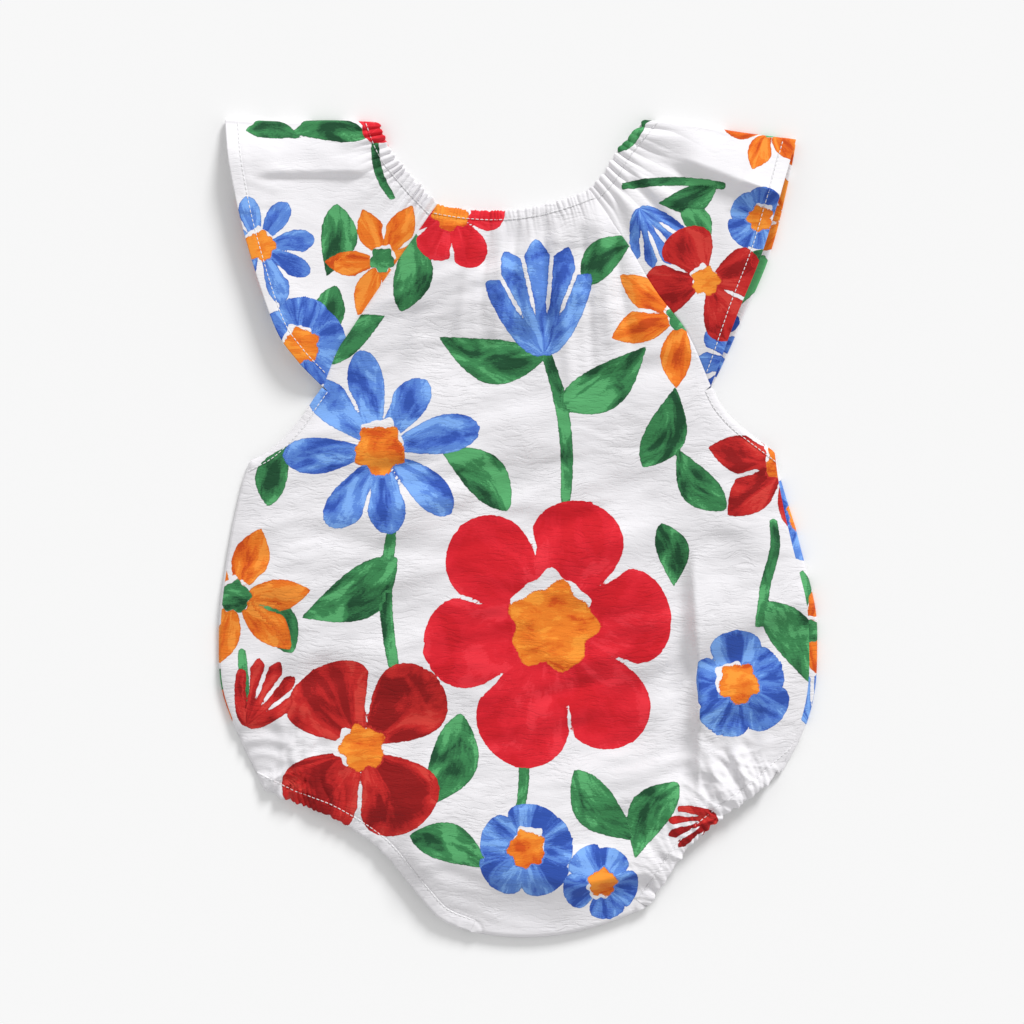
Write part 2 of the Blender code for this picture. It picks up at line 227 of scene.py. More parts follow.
# Long soft folds of the sleeves. Columns: as those of the front.
SLEEVE_FOLDS = {
    "left": (
        (-60, 168, -98, 172, 5.0, 0.7), (-55, 160, -88, 150, 4.5, 0.6),
        (-46, 152, -78, 108, 6.0, 0.6), (-128, 160, -108, 157, 2.5, 0.5),
        (-124, 146, -110, 146, 2.0, -0.5), (-117, 122, -98, 92, 6.0, 0.4),
        (-104, 150, -86, 118, 9.0, 0.4),
    ),
    "right": (
        (52, 180, 84, 182, 4.0, 0.8), (54, 173, 84, 163, 2.6, -0.9), (50, 168, 80, 146, 3.6, 1.4),
        (48, 165, 76, 137, 2.2, -1.2), (46, 160, 66, 122, 3.4, 1.4), (42, 158, 56, 126, 2.0, -1.0),
        (66, 140, 84, 100, 7.0, 0.7), (92, 148, 104, 112, 6.0, 0.6), (78, 166, 112, 158, 6.0, 0.6),
        (110, 140, 118, 150, 3.0, 0.7),
    ),
}
# Pressed folds. Columns: x, y at the start and at the end, rise, steep and slow widths.
SLEEVE_CREASES = {
    "left": (
        (-122, 164.0, -68, 166.5, 2.5, 3.8, 10.0), (-132, 148, -116, 145, 0.5, 1.6, 5.0),
    ),
    "right": (
        (73, 172, 125, 152.5, 4.4, 6.5, 14.0), (103, 160.5, 124, 152, 2.4, 2.2, 7.0),
        (96, 149, 123, 147, 0.9, 2.0, 6.0),
    ),
}

# ---- lines, noise and folds


def smooth_curve(points, count):
    """That many points, evenly spaced, on a smooth curve through a few."""
    points = np.array(points, float)
    knots = np.vstack([2 * points[0] - points[1], points, 2 * points[-1] - points[-2]])
    t = np.linspace(0, 1, CURVE_STEPS, endpoint=False)[:, None]
    fine = []
    for i in range(1, len(knots) - 2):
        a, b, c, d = knots[i - 1 : i + 3]
        bend, turn = 2 * a - 5 * b + 4 * c - d, 3 * b - a - 3 * c + d
        fine.append((2 * b + (c - a) * t + bend * t**2 + turn * t**3) / 2)
    return evenly(np.vstack([*fine, points[-1:]]), count)


def run_of(line):
    """The length of a line up to each of its points."""
    return np.concatenate([[0], np.cumsum(np.linalg.norm(np.diff(line, axis=0), axis=1))])


def evenly(line, count):
    """A line of points resampled at equal steps along its length."""
    run = run_of(line)
    wanted = np.linspace(0, run[-1], count)
    return np.column_stack([np.interp(wanted, run, line[:, k]) for k in range(line.shape[1])])


def along(line, share):
    """Points at shares of a line."""
    place = np.linspace(0, 1, len(line))
    return np.stack([np.interp(share, place, line[:, k]) for k in (0, 1)], axis=-1)


def dipping(left, right, dip, count):
    """A line between two points that hangs lowest in the middle."""
    share = np.linspace(0, 1, count)[:, None]
    line = left + (right - left) * share
    line[:, 1] -= dip * (4 * share * (1 - share))[:, 0]
    return line


def inward(edge, side):
    """Unit normals of an edge, to its right where side is 1 and to its left where it is -1."""
    step = np.gradient(edge, axis=0)
    step /= np.linalg.norm(step, axis=1)[:, None]
    return side * np.column_stack([step[:, 1], -step[:, 0]])


def inner_line(edge, width, side, start=None, end=None):
    """The line that lies a width inside an edge. start and end turn its ends along the seams there."""
    normals = inward(edge, side)
    run = run_of(edge)
    across = normals.copy()
    for direction, distance, at in ((start, run, 0), (end, run[-1] - run, -1)):
        if direction is None:
            continue
        unit = np.array(direction, float) / np.linalg.norm(direction)
        # It goes further where the seam slants, but never more than about three widths.
        unit /= max(0.3, unit @ normals[at])
        share = np.clip(1 - distance / MITRE, 0, 1)[:, None] ** 2
        across = across * (1 - share) + unit * share
    return edge + across * width


def near(x, y, line):
    """The distance of each point to a line, and how far along the line it is nearest."""
    best = np.full(x.shape, np.inf)
    where = np.zeros(x.shape)
    for (ax, ay), (bx, by), start in zip(line[:-1], line[1:], run_of(line)):
        dx, dy = bx - ax, by - ay
        length = math.hypot(dx, dy)
        t = np.clip(((x - ax) * dx + (y - ay) * dy) / length**2, 0, 1)
        distance = np.hypot(x - ax - t * dx, y - ay - t * dy)
        closer = distance < best
        best = np.where(closer, distance, best)
        where = np.where(closer, start + t * length, where)
    return best, where


def ease(value):
    """0 below 0 and 1 above 1, with soft ends."""
    value = np.clip(value, 0, 1)
    return value * value * (3 - 2 * value)


def roll(distance, width):
    """0 at an edge of the cloth, 1 where the layers lie at their full height."""
    return np.sin(np.clip(distance / width, 0, 1) * math.pi / 2)


def dome(distance, width):
    """0 at an edge and 1 from a width inside it, steep at the edge like the quarter of a circle."""
    return np.sqrt(1 - np.clip(1 - distance / width, 0, 1) ** 2)


def noise(x, y=0.0, seed=0):
    """Smooth noise from -1 to 1 with a cell of 1."""
    cells = 64
    table = np.random.RandomState(seed).uniform(-1, 1, (cells, cells))
    x, y = np.broadcast_arrays(np.asarray(x, float), y)
    i, j = np.floor(x).astype(int), np.floor(y).astype(int)
    fx, fy = ease(x - i), ease(y - j)
    low, high = (
        table[i % cells, k % cells] * (1 - fx) + table[(i + 1) % cells, k % cells] * fx
        for k in (j, j + 1)
    )
    return low * (1 - fy) + high * fy


def uneven(x, y, rows):
    """The summed noise of a table of unevenness."""
    return sum(height * noise(x / wide, y / high, seed) for height, wide, high, seed in rows)


def gathers(run, spacing, seed, drift=0.0):
    """Uneven ridges along an edge, one about every spacing: round on top, with narrow valleys."""
    place = run / spacing + 0.6 * noise(run / spacing / 2.3, drift, seed)
    strength = 0.6 + 0.5 * noise(run / spacing / 1.9, drift, seed + 1)
    return strength * (2 * np.abs(np.sin(math.pi * place)) ** 0.75 - 1.2)


def gathered(run, distance, begin, spacing, seed, reach, stray=0.2):
    """Ridges across a casing that run on into the panel, where they stray from their line and fade."""
    beyond = np.maximum(distance - begin, 0)
    run = run + stray * distance * noise(run / spacing / 3.4, distance / 40, seed + 9)
    fine = gathers(run, spacing, seed, distance / 26) * np.exp(-((beyond / (0.45 * reach)) ** 1.5))
    broad = gathers(run, 2.7 * spacing, seed + 5, distance / 40) * np.exp(-((beyond / reach) ** 1.5))
    return 0.5 * fine + 0.5 * broad


def puckers(key, run, distance):
    """Small gathers along a hem or a seam."""
    height, spacing, drift, reach, seed = PUCKERS[key]
    return height * gathers(run, spacing, seed, distance / drift) * np.exp(-distance / reach)


def groove(distance, key):
    """The dent of the stitches of a casing or a hem."""
    place = WIDTH[key] - STITCH_IN
    return -DENT[key] * np.exp(-(((distance - place) / DENT_WIDTH) ** 2))


def by_fold(x, y, x0, y0, x1, y1):
    """The share of a fold at which each point lies, and how far to the left of it."""
    length = math.hypot(x1 - x0, y1 - y0)
    ux, uy = (x1 - x0) / length, (y1 - y0) / length
    return ((x - x0) * ux + (y - y0) * uy) / length, (y - y0) * ux - (x - x0) * uy


def ridges(x, y, folds):
    """The summed height of soft folds."""
    height = np.zeros_like(x)
    for x0, y0, x1, y1, half_width, rise in folds:
        share, across = by_fold(x, y, x0, y0, x1, y1)
        across = across + 0.35 * half_width * np.sin(share * 5 + x0)
        ends = ease(np.minimum(share + 0.08, 1.08 - share) * 3)
        height += rise * ends * np.exp(-((across / half_width) ** 2))
    return height


def creases(x, y, rows, fall=ease):
    """Pressed folds: sharp on their line, falling steeply below it and slowly above it."""
    height = np.zeros_like(x)
    for x0, y0, x1, y1, rise, steep, slow in rows:
        share, above = by_fold(x, y, x0, y0, x1, y1)
        above = (above if x1 > x0 else -above) + 0.6 * np.sin(share * 4 + x0)
        ends = ease(np.minimum(share + 0.05, 1.05 - share) * 4)
        falling = fall(1 + above / steep) * (above <= 0)
        height += rise * ends * (falling + np.exp(-np.maximum(above, 0) / slow) * (above > 0))
    return height


# ---- the body


class Body:
    """The front or the back: its edges, and the lines where its casings and hems begin."""

    def __init__(self, points, peeks=False):
        self.points = {key: round(count * FINE) for key, count in points.items()}
        self.edges = {
            name: {key: smooth_curve(rows, self.points[key]) for key, rows in table.items()}
            for name, table in EDGES.items()
        }
        if peeks:
            y, *past = np.array(BACK_PEEK, float).T
            for (name, turn), out in zip(SIDES.items(), past):
                seam = self.edges[name]["side"]
                seam[:, 0] -= turn * np.interp(seam[:, 1], y, out)

    def inner(self, name, key, back=0.0):
        """The inner line of a casing or a hem, or a line that lies that much nearer to its edge.
        At the side seam it ends on that seam."""
        edges, turn, width = self.edges[name], SIDES[name], WIDTH[key] - back
        if key == "leg":
            return inner_line(edges["leg"], width, turn, None, edges["side"][1] - edges["side"][0])
        return inner_line(edges["armhole"], width, turn, edges["side"][-2] - edges["side"][-1])

    def neck_line(self, depth, count):
        """The neck edge, from left to right, or a line that lies a depth below it."""
        left, right = (self.edges[name]["raglan"] for name in SIDES)
        edge = dipping(left[-1], right[-1], NECK_DIP, count)
        return inner_line(edge, depth, 1, left[-2] - left[-1], right[-2] - right[-1])

    def outline(self, name):
        """One side of the panel, from the crotch to the neck, tucked under its casings."""
        edges, points = self.edges[name], self.points
        leg, armhole = (self.inner(name, key, TUCK) for key in ("leg", "armhole"))
        side = edges["side"]
        side = side[(side[:, 1] > leg[-1, 1] + 1) & (side[:, 1] < armhole[0, 1] - 1)]
        side = evenly(np.vstack([leg[-1], side, armhole[0]]), points["side"])
        neck = self.neck_line(WIDTH["neck"] - TUCK, CROTCH_POINTS)[0 if name == "left" else -1]
        raglan = edges["raglan"]
        raglan = raglan[raglan[:, 1] < neck[1] - 0.3]
        raglan = evenly(np.vstack([armhole[-1], raglan[1:], neck]), points["raglan"])
        corner = edges["leg"][:1] + (leg[:1] - edges["leg"][:1]) * BORDER_SHARES[:-1, None]
        return np.vstack([corner, leg, side[1:], armhole[1:], raglan[1:]])

    def panel(self):
        """Rows of points from the crotch to the neck. Their columns are close together at the rolled
        edges, and the lowest and the highest rows are bowed."""
        middle = np.linspace(0, 1, self.points["across"])
        middle -= 0.4 * np.sin(2 * math.pi * middle) / (2 * math.pi)
        middle = middle[(middle > 0.0065) & (middle < 0.9935)]
        shares = np.concatenate([ROLL_SHARES, middle, 1 - ROLL_SHARES[::-1]])
        left, right = (self.outline(name) for name in SIDES)
        rows = grid_of(left, right, shares)
        height, bowed = np.linspace(0, 1, len(left))[:, None], 0.3
        dip = CROTCH_DIP * np.maximum(0, 1 - height / bowed) ** 2
        dip = dip + NECK_DIP * np.maximum(0, (height - 1 + bowed) / bowed) ** 2
        rows[..., 1] -= dip * 4 * shares * (1 - shares)
        return rows

    def borders(self, layer):
        """Name, kind, outer and inner line and thickness of each casing and hem of a layer."""
        thick = {"front": CASING_THICK, "back": BACK_THICK}[layer]
        neck = (self.neck_line(depth, self.points["neck"]) for depth in (0, WIDTH["neck"]))
        rows = [(f"neck_casing_{layer}", "neck", *neck, thick)]
        for name in SIDES:
            for node, key, size in (("leg_casing", "leg", thick), ("armhole_hem", "armhole", HEM_THICK)):
                lines = self.edges[name][key], self.inner(name, key)
                rows.append((f"{node}_{name}_{layer}", key, *lines, size))
        return rows


# ---- heights of the body


def leg_waves(name, run, share, distance):
    """Gathers that a leg's elastic draws up, and crumples between them."""
    ridge, seed = LEG_LOOKS[name]["ridge"], LEG_LOOKS[name]["seed"]
    place, *looks = np.array(LEG_PULL[name], float).T
    strength, reach = (np.interp(share, place, values) for values in looks)
    turned = distance + 0.6 * run
    crumpled = 0.5 - 2 * np.abs(noise(run / 5.0 + distance / 19, turned / 9, seed + 20))
    crumpled += 0.3 - 1.2 * np.abs(noise(run / 2.7 - distance / 13, turned / 5, seed + 22))
    crumpled *= np.exp(-distance / reach) * ease(0.8 + noise(run / 15, distance / 12, seed + 21))
    waves = gathered(run, distance, WIDTH["leg"], ridge, seed, reach, LEG_STRAY)
    return LEG_SHARE * strength * (waves + crumpled)


def neck_waves(layer, run, distance):
    """Gathers of the neck's elastic."""
    seed = NECK_SEEDS[layer]
    return NECK_PULL * gathered(run, distance, WIDTH["neck"], NECK_RIDGE, seed, NECK_REACH)


def pleat(x, y):
    """The step of the pleat on the belly, and how much cloth is hidden under it."""
    p = PLEAT
    line = p["x"] + p["lean"] * (y - p["top"]) + p["wander"] * np.sin(y / 17)
    inside = ease((p["top"] - y) / 26) * ease((y - p["bottom"] + 6) / 14)
    right = x - line
    climbed = np.clip((right + p["foot"]) / p["step"], 0, 1) ** 1.8
    over = climbed * np.exp(-np.maximum(right - p["crest"], 0) / p["width"])
    under = (1 - climbed) * np.exp(-((np.minimum(right + p["foot"], 0) / p["hollow"]) ** 2))
    step = inside * (p["rise"] * over - p["depth"] * under)
    return step, p["tuck"] * inside * ease((right + p["crest"] / 2) / p["crest"])


def pressed(height):
    """Heights of the front, pressed together where they are far from those of loose cloth."""
    (lowest, highest), (below, above) = LOOSE, PRESSED
    high, low = np.maximum(height - highest, 0), np.maximum(lowest - height, 0)
    kept = np.clip(height, lowest, highest)
    return kept + above * np.tanh(high / above) - below * np.tanh(low / below)


def rumpled(x, y):
    """The unevenness of crinkle cotton that lies loose: slanting puffs, and small creases in patches."""
    slanting = y - 0.26 * x + 5.0 * noise(x / 45, y / 40, 42)
    bent = y + 4.0 * noise(x / 26, y / 22, 45)
    patchy = 0.4 + 0.6 * ease(0.5 + noise(x / 28, y / 24, 46))
    return uneven(x, slanting, FRONT_PUFFS) + patchy * uneven(x, bent, FRONT_CREASES)


class Layer:
    """The lines of the front or the back that its heights are measured from, by side and kind."""

    def __init__(self, body, seams, hems):
        corners = (body.edges[name]["leg"][0] for name in SIDES)
        crotch = dipping(*corners, CROTCH_DIP, CROTCH_POINTS)
        self.lines = {("", "neck"): body.neck_line(0, LINE_POINTS), ("", "crotch"): crotch}
        for name in SIDES:
            self.lines[name, "side"] = evenly(seams.edges[name]["side"], LINE_POINTS)
            for key in hems:
                self.lines[name, key] = evenly(body.edges[name][key], LINE_POINTS)

    def measured(self, x, y):
        """Side, kind, distance and run of each line, and the distance from the nearest of a kind."""
        found = [(*at, *near(x, y, line)) for at, line in self.lines.items()]
        away = {}
        for _, key, distance, _ in found:
            away[key] = np.minimum(away.get(key, np.inf), distance)
        return found, away


class Front(Layer):
    """The outer face of the front: low at its seams, full in the middle, folded and gathered."""

    def laid(self, grid):
        """The heights over a grid of points, and where each lies on the flat cloth."""
        x, y = grid[..., 0], grid[..., 1]
        found, away = self.measured(x, y)
        hem = np.minimum.reduce([away[key] for key in ("neck", "leg", "armhole", "raglan")])
        height = sum(self.along_edge(*line) for line in found)
        height = height + creases(x, y, CROTCH_CREASES) * roll(hem, 14)
        height += ridges(x, y, NECK_FOLDS) * ease((away["neck"] - WIDTH["neck"] + 3) / 8)
        height += CROTCH_LIFT * np.exp(-((away["crotch"] / CROTCH_LIFT_REACH) ** 2))
        step, tuck = pleat(x, y)
        full = self.fullness(np.minimum.reduce([hem, away["side"], away["crotch"]]), away["crotch"])
        height += full * (BODY_FULLNESS + ridges(x, y, BODY_FOLDS) + rumpled(x, y)) + step
        height = pressed(SEAM_TOP + height)
        height -= SIDE_ROUND * (1 - dome(away["side"], SIDE_ROUND))
        off_legs = ease(away["leg"] / 6 - 0.1)
        height -= CROTCH_ROUND * (1 - dome(away["crotch"], CROTCH_ROUND)) * off_legs
        return height, grid + np.dstack([tuck, np.zeros_like(tuck)])

    def along_edge(self, name, key, distance, run):
        """What one edge does to the heights around it."""
        height = groove(distance, key) if key in DENT else np.zeros_like(distance)
        if key == "leg":
            share = run / run_of(self.lines[name, key])[-1]
            ends = ease(share / 0.25) * ease((1 - share) / 0.12)
            height += leg_waves(name, run, share, distance)
            height += LEG_LOOKS[name]["lift"] * np.exp(-distance / EDGE_LIFT_REACH) * ends
        elif key == "neck":
            height += neck_waves("front", run, distance)
        elif key != "crotch":
            height += puckers(key, run, distance)
        # The sleeve presses the front down next to its seam.
        return height - 0.35 * (1 - ease(distance / 0.9)) if key == "raglan" else height

    def fullness(self, nearest, crotch):
        """How full the cloth lies, from 0 at its edges to 1. It is flatter near the crotch."""
        full = 0.45 * dome(nearest, EDGE_ROLL / 3) + 0.55 * roll(nearest, EDGE_ROLL)
        return full * (0.15 + 0.85 * np.clip(crotch / CROTCH_SLOPE, 0, 1))


class Back(Layer):
    """The underside of the back: it rests on the table and turns up at the sides and the crotch."""

    def height(self, grid):
        """The heights over a grid of points."""
        x, y = grid[..., 0], grid[..., 1]
        found, away = self.measured(x, y)
        lift = uneven(x, y, BACK_PUFFS)
        for name, key, distance, run in found:
            if key == "leg":
                run = run + BACK_LEG_SHIFT
                share = run / run_of(self.lines[name, key])[-1]
                lift += BACK_SHARE * leg_waves(name, run, share, distance)
            elif key == "neck":
                lift += BACK_SHARE * neck_waves("back", run + BACK_NECK_SHIFT, distance)
        radius = SEAM_TOP - SIDE_ROUND - TABLE_GAP
        turned_up = radius * (1 - dome(away["side"], radius))
        radius = SEAM_TOP + CROTCH_LIFT - CROTCH_ROUND - TABLE_GAP + CROTCH_OVERLAP
        turned_up = np.maximum(turned_up, radius * (1 - dome(away["crotch"], 4 * radius)))
        return TABLE_GAP + np.maximum(turned_up, np.clip(lift, 0, LIFT_LIMIT))


# ---- meshes

UP = np.array((0.0, 0.0, 1.0))


class Sheet:
    """Rows of points of one stretch of cloth, and where each point lies on the flat printed cloth.
    facing is up, down or out, and says which side of the cloth its print is on."""

    def __init__(self, points, cloth, facing, closed=False):
        self.points, self.cloth, self.facing, self.closed = points, cloth, facing, closed

    def turned(self):
        """Whether the faces, wound along rows and then columns, look the wrong way."""
        p = self.points
        across = np.roll(p, -1, axis=1) - p if self.closed else np.diff(p, axis=1)
        away = np.diff(p, axis=0)
        columns = min(across.shape[1], away.shape[1])
        normal = np.cross(across[:-1, :columns], away[:, :columns])
        if self.facing == "out":
            return (normal * (p[:-1, :columns] - p.mean(axis=(0, 1)))).sum() < 0
        return (normal[..., 2].sum() < 0) == (self.facing == "up")

    def faces(self, first):
        """The corners of each face, where the sheet's points are numbered from first."""
        rows, columns = self.points.shape[:2]
        i, j = np.meshgrid(np.arange(rows - 1), np.arange(columns - (not self.closed)), indexing="ij")
        here, right = i * columns + j, i * columns + (j + 1) % columns
        corners = (here, right, right + columns, here + columns)
        faces = (np.stack(corners, -1).reshape(-1, 4) + first).tolist()
        if self.closed:
            last = first + (rows - 1) * columns
            faces += [[first + k for k in reversed(range(columns))], [last + k for k in range(columns)]]
        return [face[::-1] for face in faces] if self.turned() else faces


def placed(name, data):
    """A new object in the scene."""
    obj = bpy.data.objects.new(name, data)
    bpy.context.scene.collection.objects.link(obj)
    return obj


def cloth_object(name, points, faces, material):
    """An object of the romper, from points in millimetres."""
    mesh = bpy.data.meshes.new(name)
    mesh.from_pydata((points * MM).tolist(), [], faces)
    mesh.shade_smooth()
    mesh.materials.append(material)
    obj = placed(name, mesh)
    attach(obj, "root")
    return obj


def piece(name, sheets, prints, material):
    """A printed piece of the romper from its sheets, in place of the CAD node of that name."""
    points = np.concatenate([sheet.points.reshape(-1, 3) for sheet in sheets])
    cloth = np.concatenate([sheet.cloth.reshape(-1, 2) for sheet in sheets])
    faces, first = [], 0
    for sheet in sheets:
        faces += sheet.faces(first)
        first += sheet.points.shape[0] * sheet.points.shape[1]
    obj = cloth_object(name, points, faces, material)
    for face in obj.data.polygons:
        face.use_smooth = len(face.vertices) == 4
    flat = np.column_stack([cloth, np.zeros(len(cloth))])
    for key, values in {"cloth": flat, **painted(*cloth.T, prints)}.items():
        kind, field = ("FLOAT_VECTOR", "vector") if values.ndim == 2 else ("FLOAT", "value")
        layer = obj.data.attributes.new(key, kind, "POINT")
        layer.data.foreach_set(field, np.ascontiguousarray(values, np.float32).ravel())
    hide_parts(name)
    return obj


def grid_of(outer, inner, shares):
    """Points between two lines: a row for each of their points, a column for each share of the way."""
    return outer[:, None] + (inner - outer)[:, None] * shares[None, :, None]


def lifted(grid, heights):
    """Points of a plan at their heights."""
    return np.dstack([grid, heights])


def border(face, outward, width, thick, floor=None):
    """Loops round a folded border: its face, the roll at its edge and its inner side.
    Columns of the face run from the edge inward."""
    half = np.broadcast_to(thick, face.shape[:2])[..., None] / 2
    rounding = dome((BORDER_SHARES * width)[:, None], half)
    top = face - outward * half * (1 - rounding)
    under = face - outward * half * (1 + rounding)
    if floor is not None:
        under[..., 2] = np.minimum(np.maximum(under[..., 2], floor), top[..., 2] - THINNEST)
    return np.concatenate([top[:, ::-1], under[:, 1:]], axis=1)


def border_piece(node, loops, cloth, prints, material):
    """A casing or a hem from its loops. Its inner side lies on the same places of the cloth."""
    cloth = np.concatenate([cloth[:, ::-1], cloth[:, 1:]], axis=1)
    return piece(node, [Sheet(loops, cloth, "out", closed=True)], prints, material)


def scallops(outer, inner, height, width):
    """How far the gathers push the edge of a casing out, and draw it in between them."""
    window = 2 * SCALLOP_SPAN + 1
    padded = np.pad(height[:, 0], SCALLOP_SPAN, "edge")
    swell = height[:, 0] - np.convolve(padded, np.ones(window) / window, "valid")
    out = (outer - inner) / width
    fade = (1 - BORDER_SHARES[None, :, None]) ** 2
    return SCALLOP * swell[:, None, None] * out[:, None] * fade


def make_front(body, front, prints, material):
    """The front: its panel, the casings at neck and legs, and the armhole hems."""
    grid = body.panel()
    height, cloth = front.laid(grid)
    sheets = [Sheet(lifted(grid, height), cloth, "up")]
    made = piece("front_panel", sheets, prints, material)
    borders = []
    for node, key, outer, inner, thick in body.borders("front"):
        grid = grid_of(outer, inner, BORDER_SHARES)
        height, cloth = front.laid(grid)
        # A leg casing begins thin at the crotch.
        begun = ease(run_of(outer) / TAPER)[:, None] if key == "leg" else np.ones((len(outer), 1))
        face = lifted(grid, height + LEDGE * (0.35 + 0.65 * begun))
        face[..., :2] += scallops(outer, inner, height, WIDTH[key])
        loops = border(face, UP, WIDTH[key], thick * (0.3 + 0.7 * begun), FRONT_FLOOR)
        borders.append(border_piece(node, loops, cloth, prints, material))
    return made, borders


def side_strips(body, front_body, front):
    """The cloth of the back that rolls up round the side seams and ends under the front."""
    strips = []
    for name, turn in SIDES.items():
        outer, inner = body.edges[name]["side"], front_body.edges[name]["side"]
        inner = evenly(inner_line(inner, SEAM_TUCK, turn), len(outer))
        grid = grid_of(outer, inner, STRIP_SHARES)
        height, _ = front.laid(grid)
        inside = near(grid[..., 0], grid[..., 1], evenly(outer, LINE_POINTS))[0]
        strips.append(Sheet(lifted(grid, height - LEDGE * ease(inside / 0.8)), grid, "up"))
    return strips


def make_back(body, front_body, front, prints, material):
    """The back: its panel, which rolls up to the side seams, and its casings and hems."""
    back = Back(body, body, ("leg",))
    grid = body.panel()
    sheets = [Sheet(lifted(grid, back.height(grid)), grid, "down")]
    sheets += side_strips(body, front_body, front)
    made = piece("back_panel", sheets, prints, material)
    borders = []
    for node, key, outer, inner, thick in body.borders("back"):
        grid = grid_of(outer, inner, BORDER_SHARES)
        face = lifted(grid, back.height(grid) - LEDGE)
        loops = border(face, -UP, WIDTH[key], thick)
        loops[..., 2] = np.minimum(loops[..., 2], BACK_CEILING)
        borders.append(border_piece(node, loops, grid, prints, material))
    return made, borders


# ---- sleeves

UNDER, FOLD, UPPER = range(3)


class Sleeve:
    """A sleeve folded along the shoulder: its plan is a patch between the neck, the shoulder fold,
    the hem and the raglan seam. u runs from neck to hem, v from the fold to the seam."""

    def __init__(self, name, seam):
        self.name, self.side, self.peek = name, SIDES[name], SLEEVES[name]["peek"]
        self.raglan = evenly(seam + inward(seam, self.side) * SEAM_TUCK, SLEEVE_EDGE_POINTS)[::-1]
        self.neck, self.shoulder, self.hem = (
            smooth_curve(SLEEVES[name][key], SLEEVE_EDGE_POINTS) for key in ("neck", "shoulder", "hem")
        )
        # The ends of the neck and the hem are drawn to those of the tucked seam.
        late = np.linspace(0, 1, SLEEVE_EDGE_POINTS)[:, None] ** 6
        self.neck += (self.raglan[0] - self.neck[-1]) * late
        self.hem += (self.raglan[-1] - self.hem[-1]) * late

    def plan(self, u, v):
        """x, y of points of the patch."""
        u, v = np.broadcast_arrays(u, v)
        a, b = u[..., None], v[..., None]
        ruled = (1 - a) * along(self.neck, v) + a * along(self.hem, v)
        ruled += (1 - b) * along(self.shoulder, u) + b * along(self.raglan, u)
        at_fold = (1 - a) * self.shoulder[0] + a * self.shoulder[-1]
        at_seam = (1 - a) * self.raglan[0] + a * self.raglan[-1]
        return ruled - (1 - b) * at_fold - b * at_seam

    def reach(self, v):
        """How far it is from the neck to the hem."""
        return np.linalg.norm(self.plan(1.0, v) - self.plan(0.0, v), axis=-1)

    def sheet(self, columns, first, last):
        """Points, places on the cloth, outward directions and v, over a stretch of the sleeve."""
        at = Stretch(self, columns, first, last)
        xy = self.plan(at.u, at.v)
        # The under layer lies on the table and reaches past the upper hem.
        out = np.where(at.kind == UNDER, self.peek * at.u**2 * bulge(at.v), 0)
        xy = xy - np.dstack([self.side * out, 0.35 * out])
        waves = self.waves(at)
        z = self.heights(at, xy, waves)
        if first == 0:
            out = (self.plan(0.0, at.v) - self.plan(1.0, at.v)) / at.reach[..., None]
            swell = np.where(at.kind == UNDER, 0.3, 1.0) * waves * (1 - columns) ** 2
            xy = xy + SCALLOP * swell[..., None] * out
        sideways = -at.down * np.sin(at.turn)[..., None]
        outward = np.dstack([sideways, np.broadcast_to(-np.cos(at.turn), at.u.shape)])
        return np.dstack([xy, z]), self.unfolded(at, xy), outward, at.v

    def waves(self, at):
        """Gathers of the neck's elastic, the dents of the stitches and a waver along the hem."""
        look = SLEEVE_LOOKS[self.name]
        pull, ridge, reach, seed = (look[key] for key in ("pull", "ridge", "reach", "seed"))
        run = np.where(at.kind == UNDER, -at.v, at.v) * run_of(self.neck)[-1]
        waves = pull * gathered(run, at.from_neck, WIDTH["sleeve_casing"], ridge, seed, reach)
        waves += groove(at.from_neck, "sleeve_casing") + groove(at.from_hem, "sleeve_hem")
        return waves + 0.35 * noise(run / 9, 0, seed + 3) * ease(1 - at.from_hem / 30)

    def puff(self, at, x, y):
        """How high the upper layer stands where it has room."""
        puff = SLEEVE_FULLNESS + ridges(x, y, SLEEVE_FOLDS[self.name])
        puff += creases(x, y, SLEEVE_CREASES[self.name], lambda share: roll(share, 1))
        puff += uneven(x, y, SLEEVE_PUFFS) + uneven(x, y + 0.4 * x, SLEEVE_WRINKLES)
        return puff + SLEEVE_LOOKS[self.name]["flare"] * ease(1 - at.from_hem / FLARE_REACH)

    def heights(self, at, xy, waves):
        """Heights of the under layer, of the roll of the fold and of the upper layer."""
        x, y = xy[..., 0], xy[..., 1]
        at_seam = 1 - ease((1 - at.v) * 60)
        room = roll(1 - at.v, SLEEVE_STEEP) * roll(at.share, SLEEVE_STEEP)
        upper = SHOULDER_FOLD + (SEAM_TOP - SHOULDER_FOLD) * roll(at.share, 0.35)
        upper = upper + room * self.puff(at, x, y) + waves * np.minimum(1, 0.35 + room) - 0.7 * at_seam
        under = TABLE_GAP + np.clip(0.5 * waves + uneven(x, y, UNDER_PUFFS), 0, UNDER_LIMIT)
        curl = SLEEVE_LOOKS[self.name]["curl"] * ease(1 - at.from_hem / CURL_REACH)
        under += 0.3 * at_seam + curl * bulge(at.v)
        rolled = TABLE_GAP + (SHOULDER_FOLD - TABLE_GAP) / 2 * (1 - np.cos(at.turn))
        rolled = rolled + 0.35 * waves * np.sin(at.turn)
        return np.where(at.kind == UNDER, under, np.where(at.kind == FOLD, rolled, upper))

    def unfolded(self, at, xy):
        """Places on the cloth: the under layer is the mirror image of the upper one in the fold."""
        fold = self.shoulder[-1] - self.shoulder[0]
        fold = fold / np.linalg.norm(fold)
        mirrored = 2 * (at.down @ fold)[..., None] * fold - at.down
        beyond = np.where(at.kind == UNDER, at.v - at.start, 0) * at.width
        beyond = beyond + (math.pi - at.turn) * SHOULDER_FOLD / 2
        flipped = self.plan(at.u, at.start) + mirrored * beyond[..., None]
        return np.where((at.kind == UPPER)[..., None], xy, flipped)


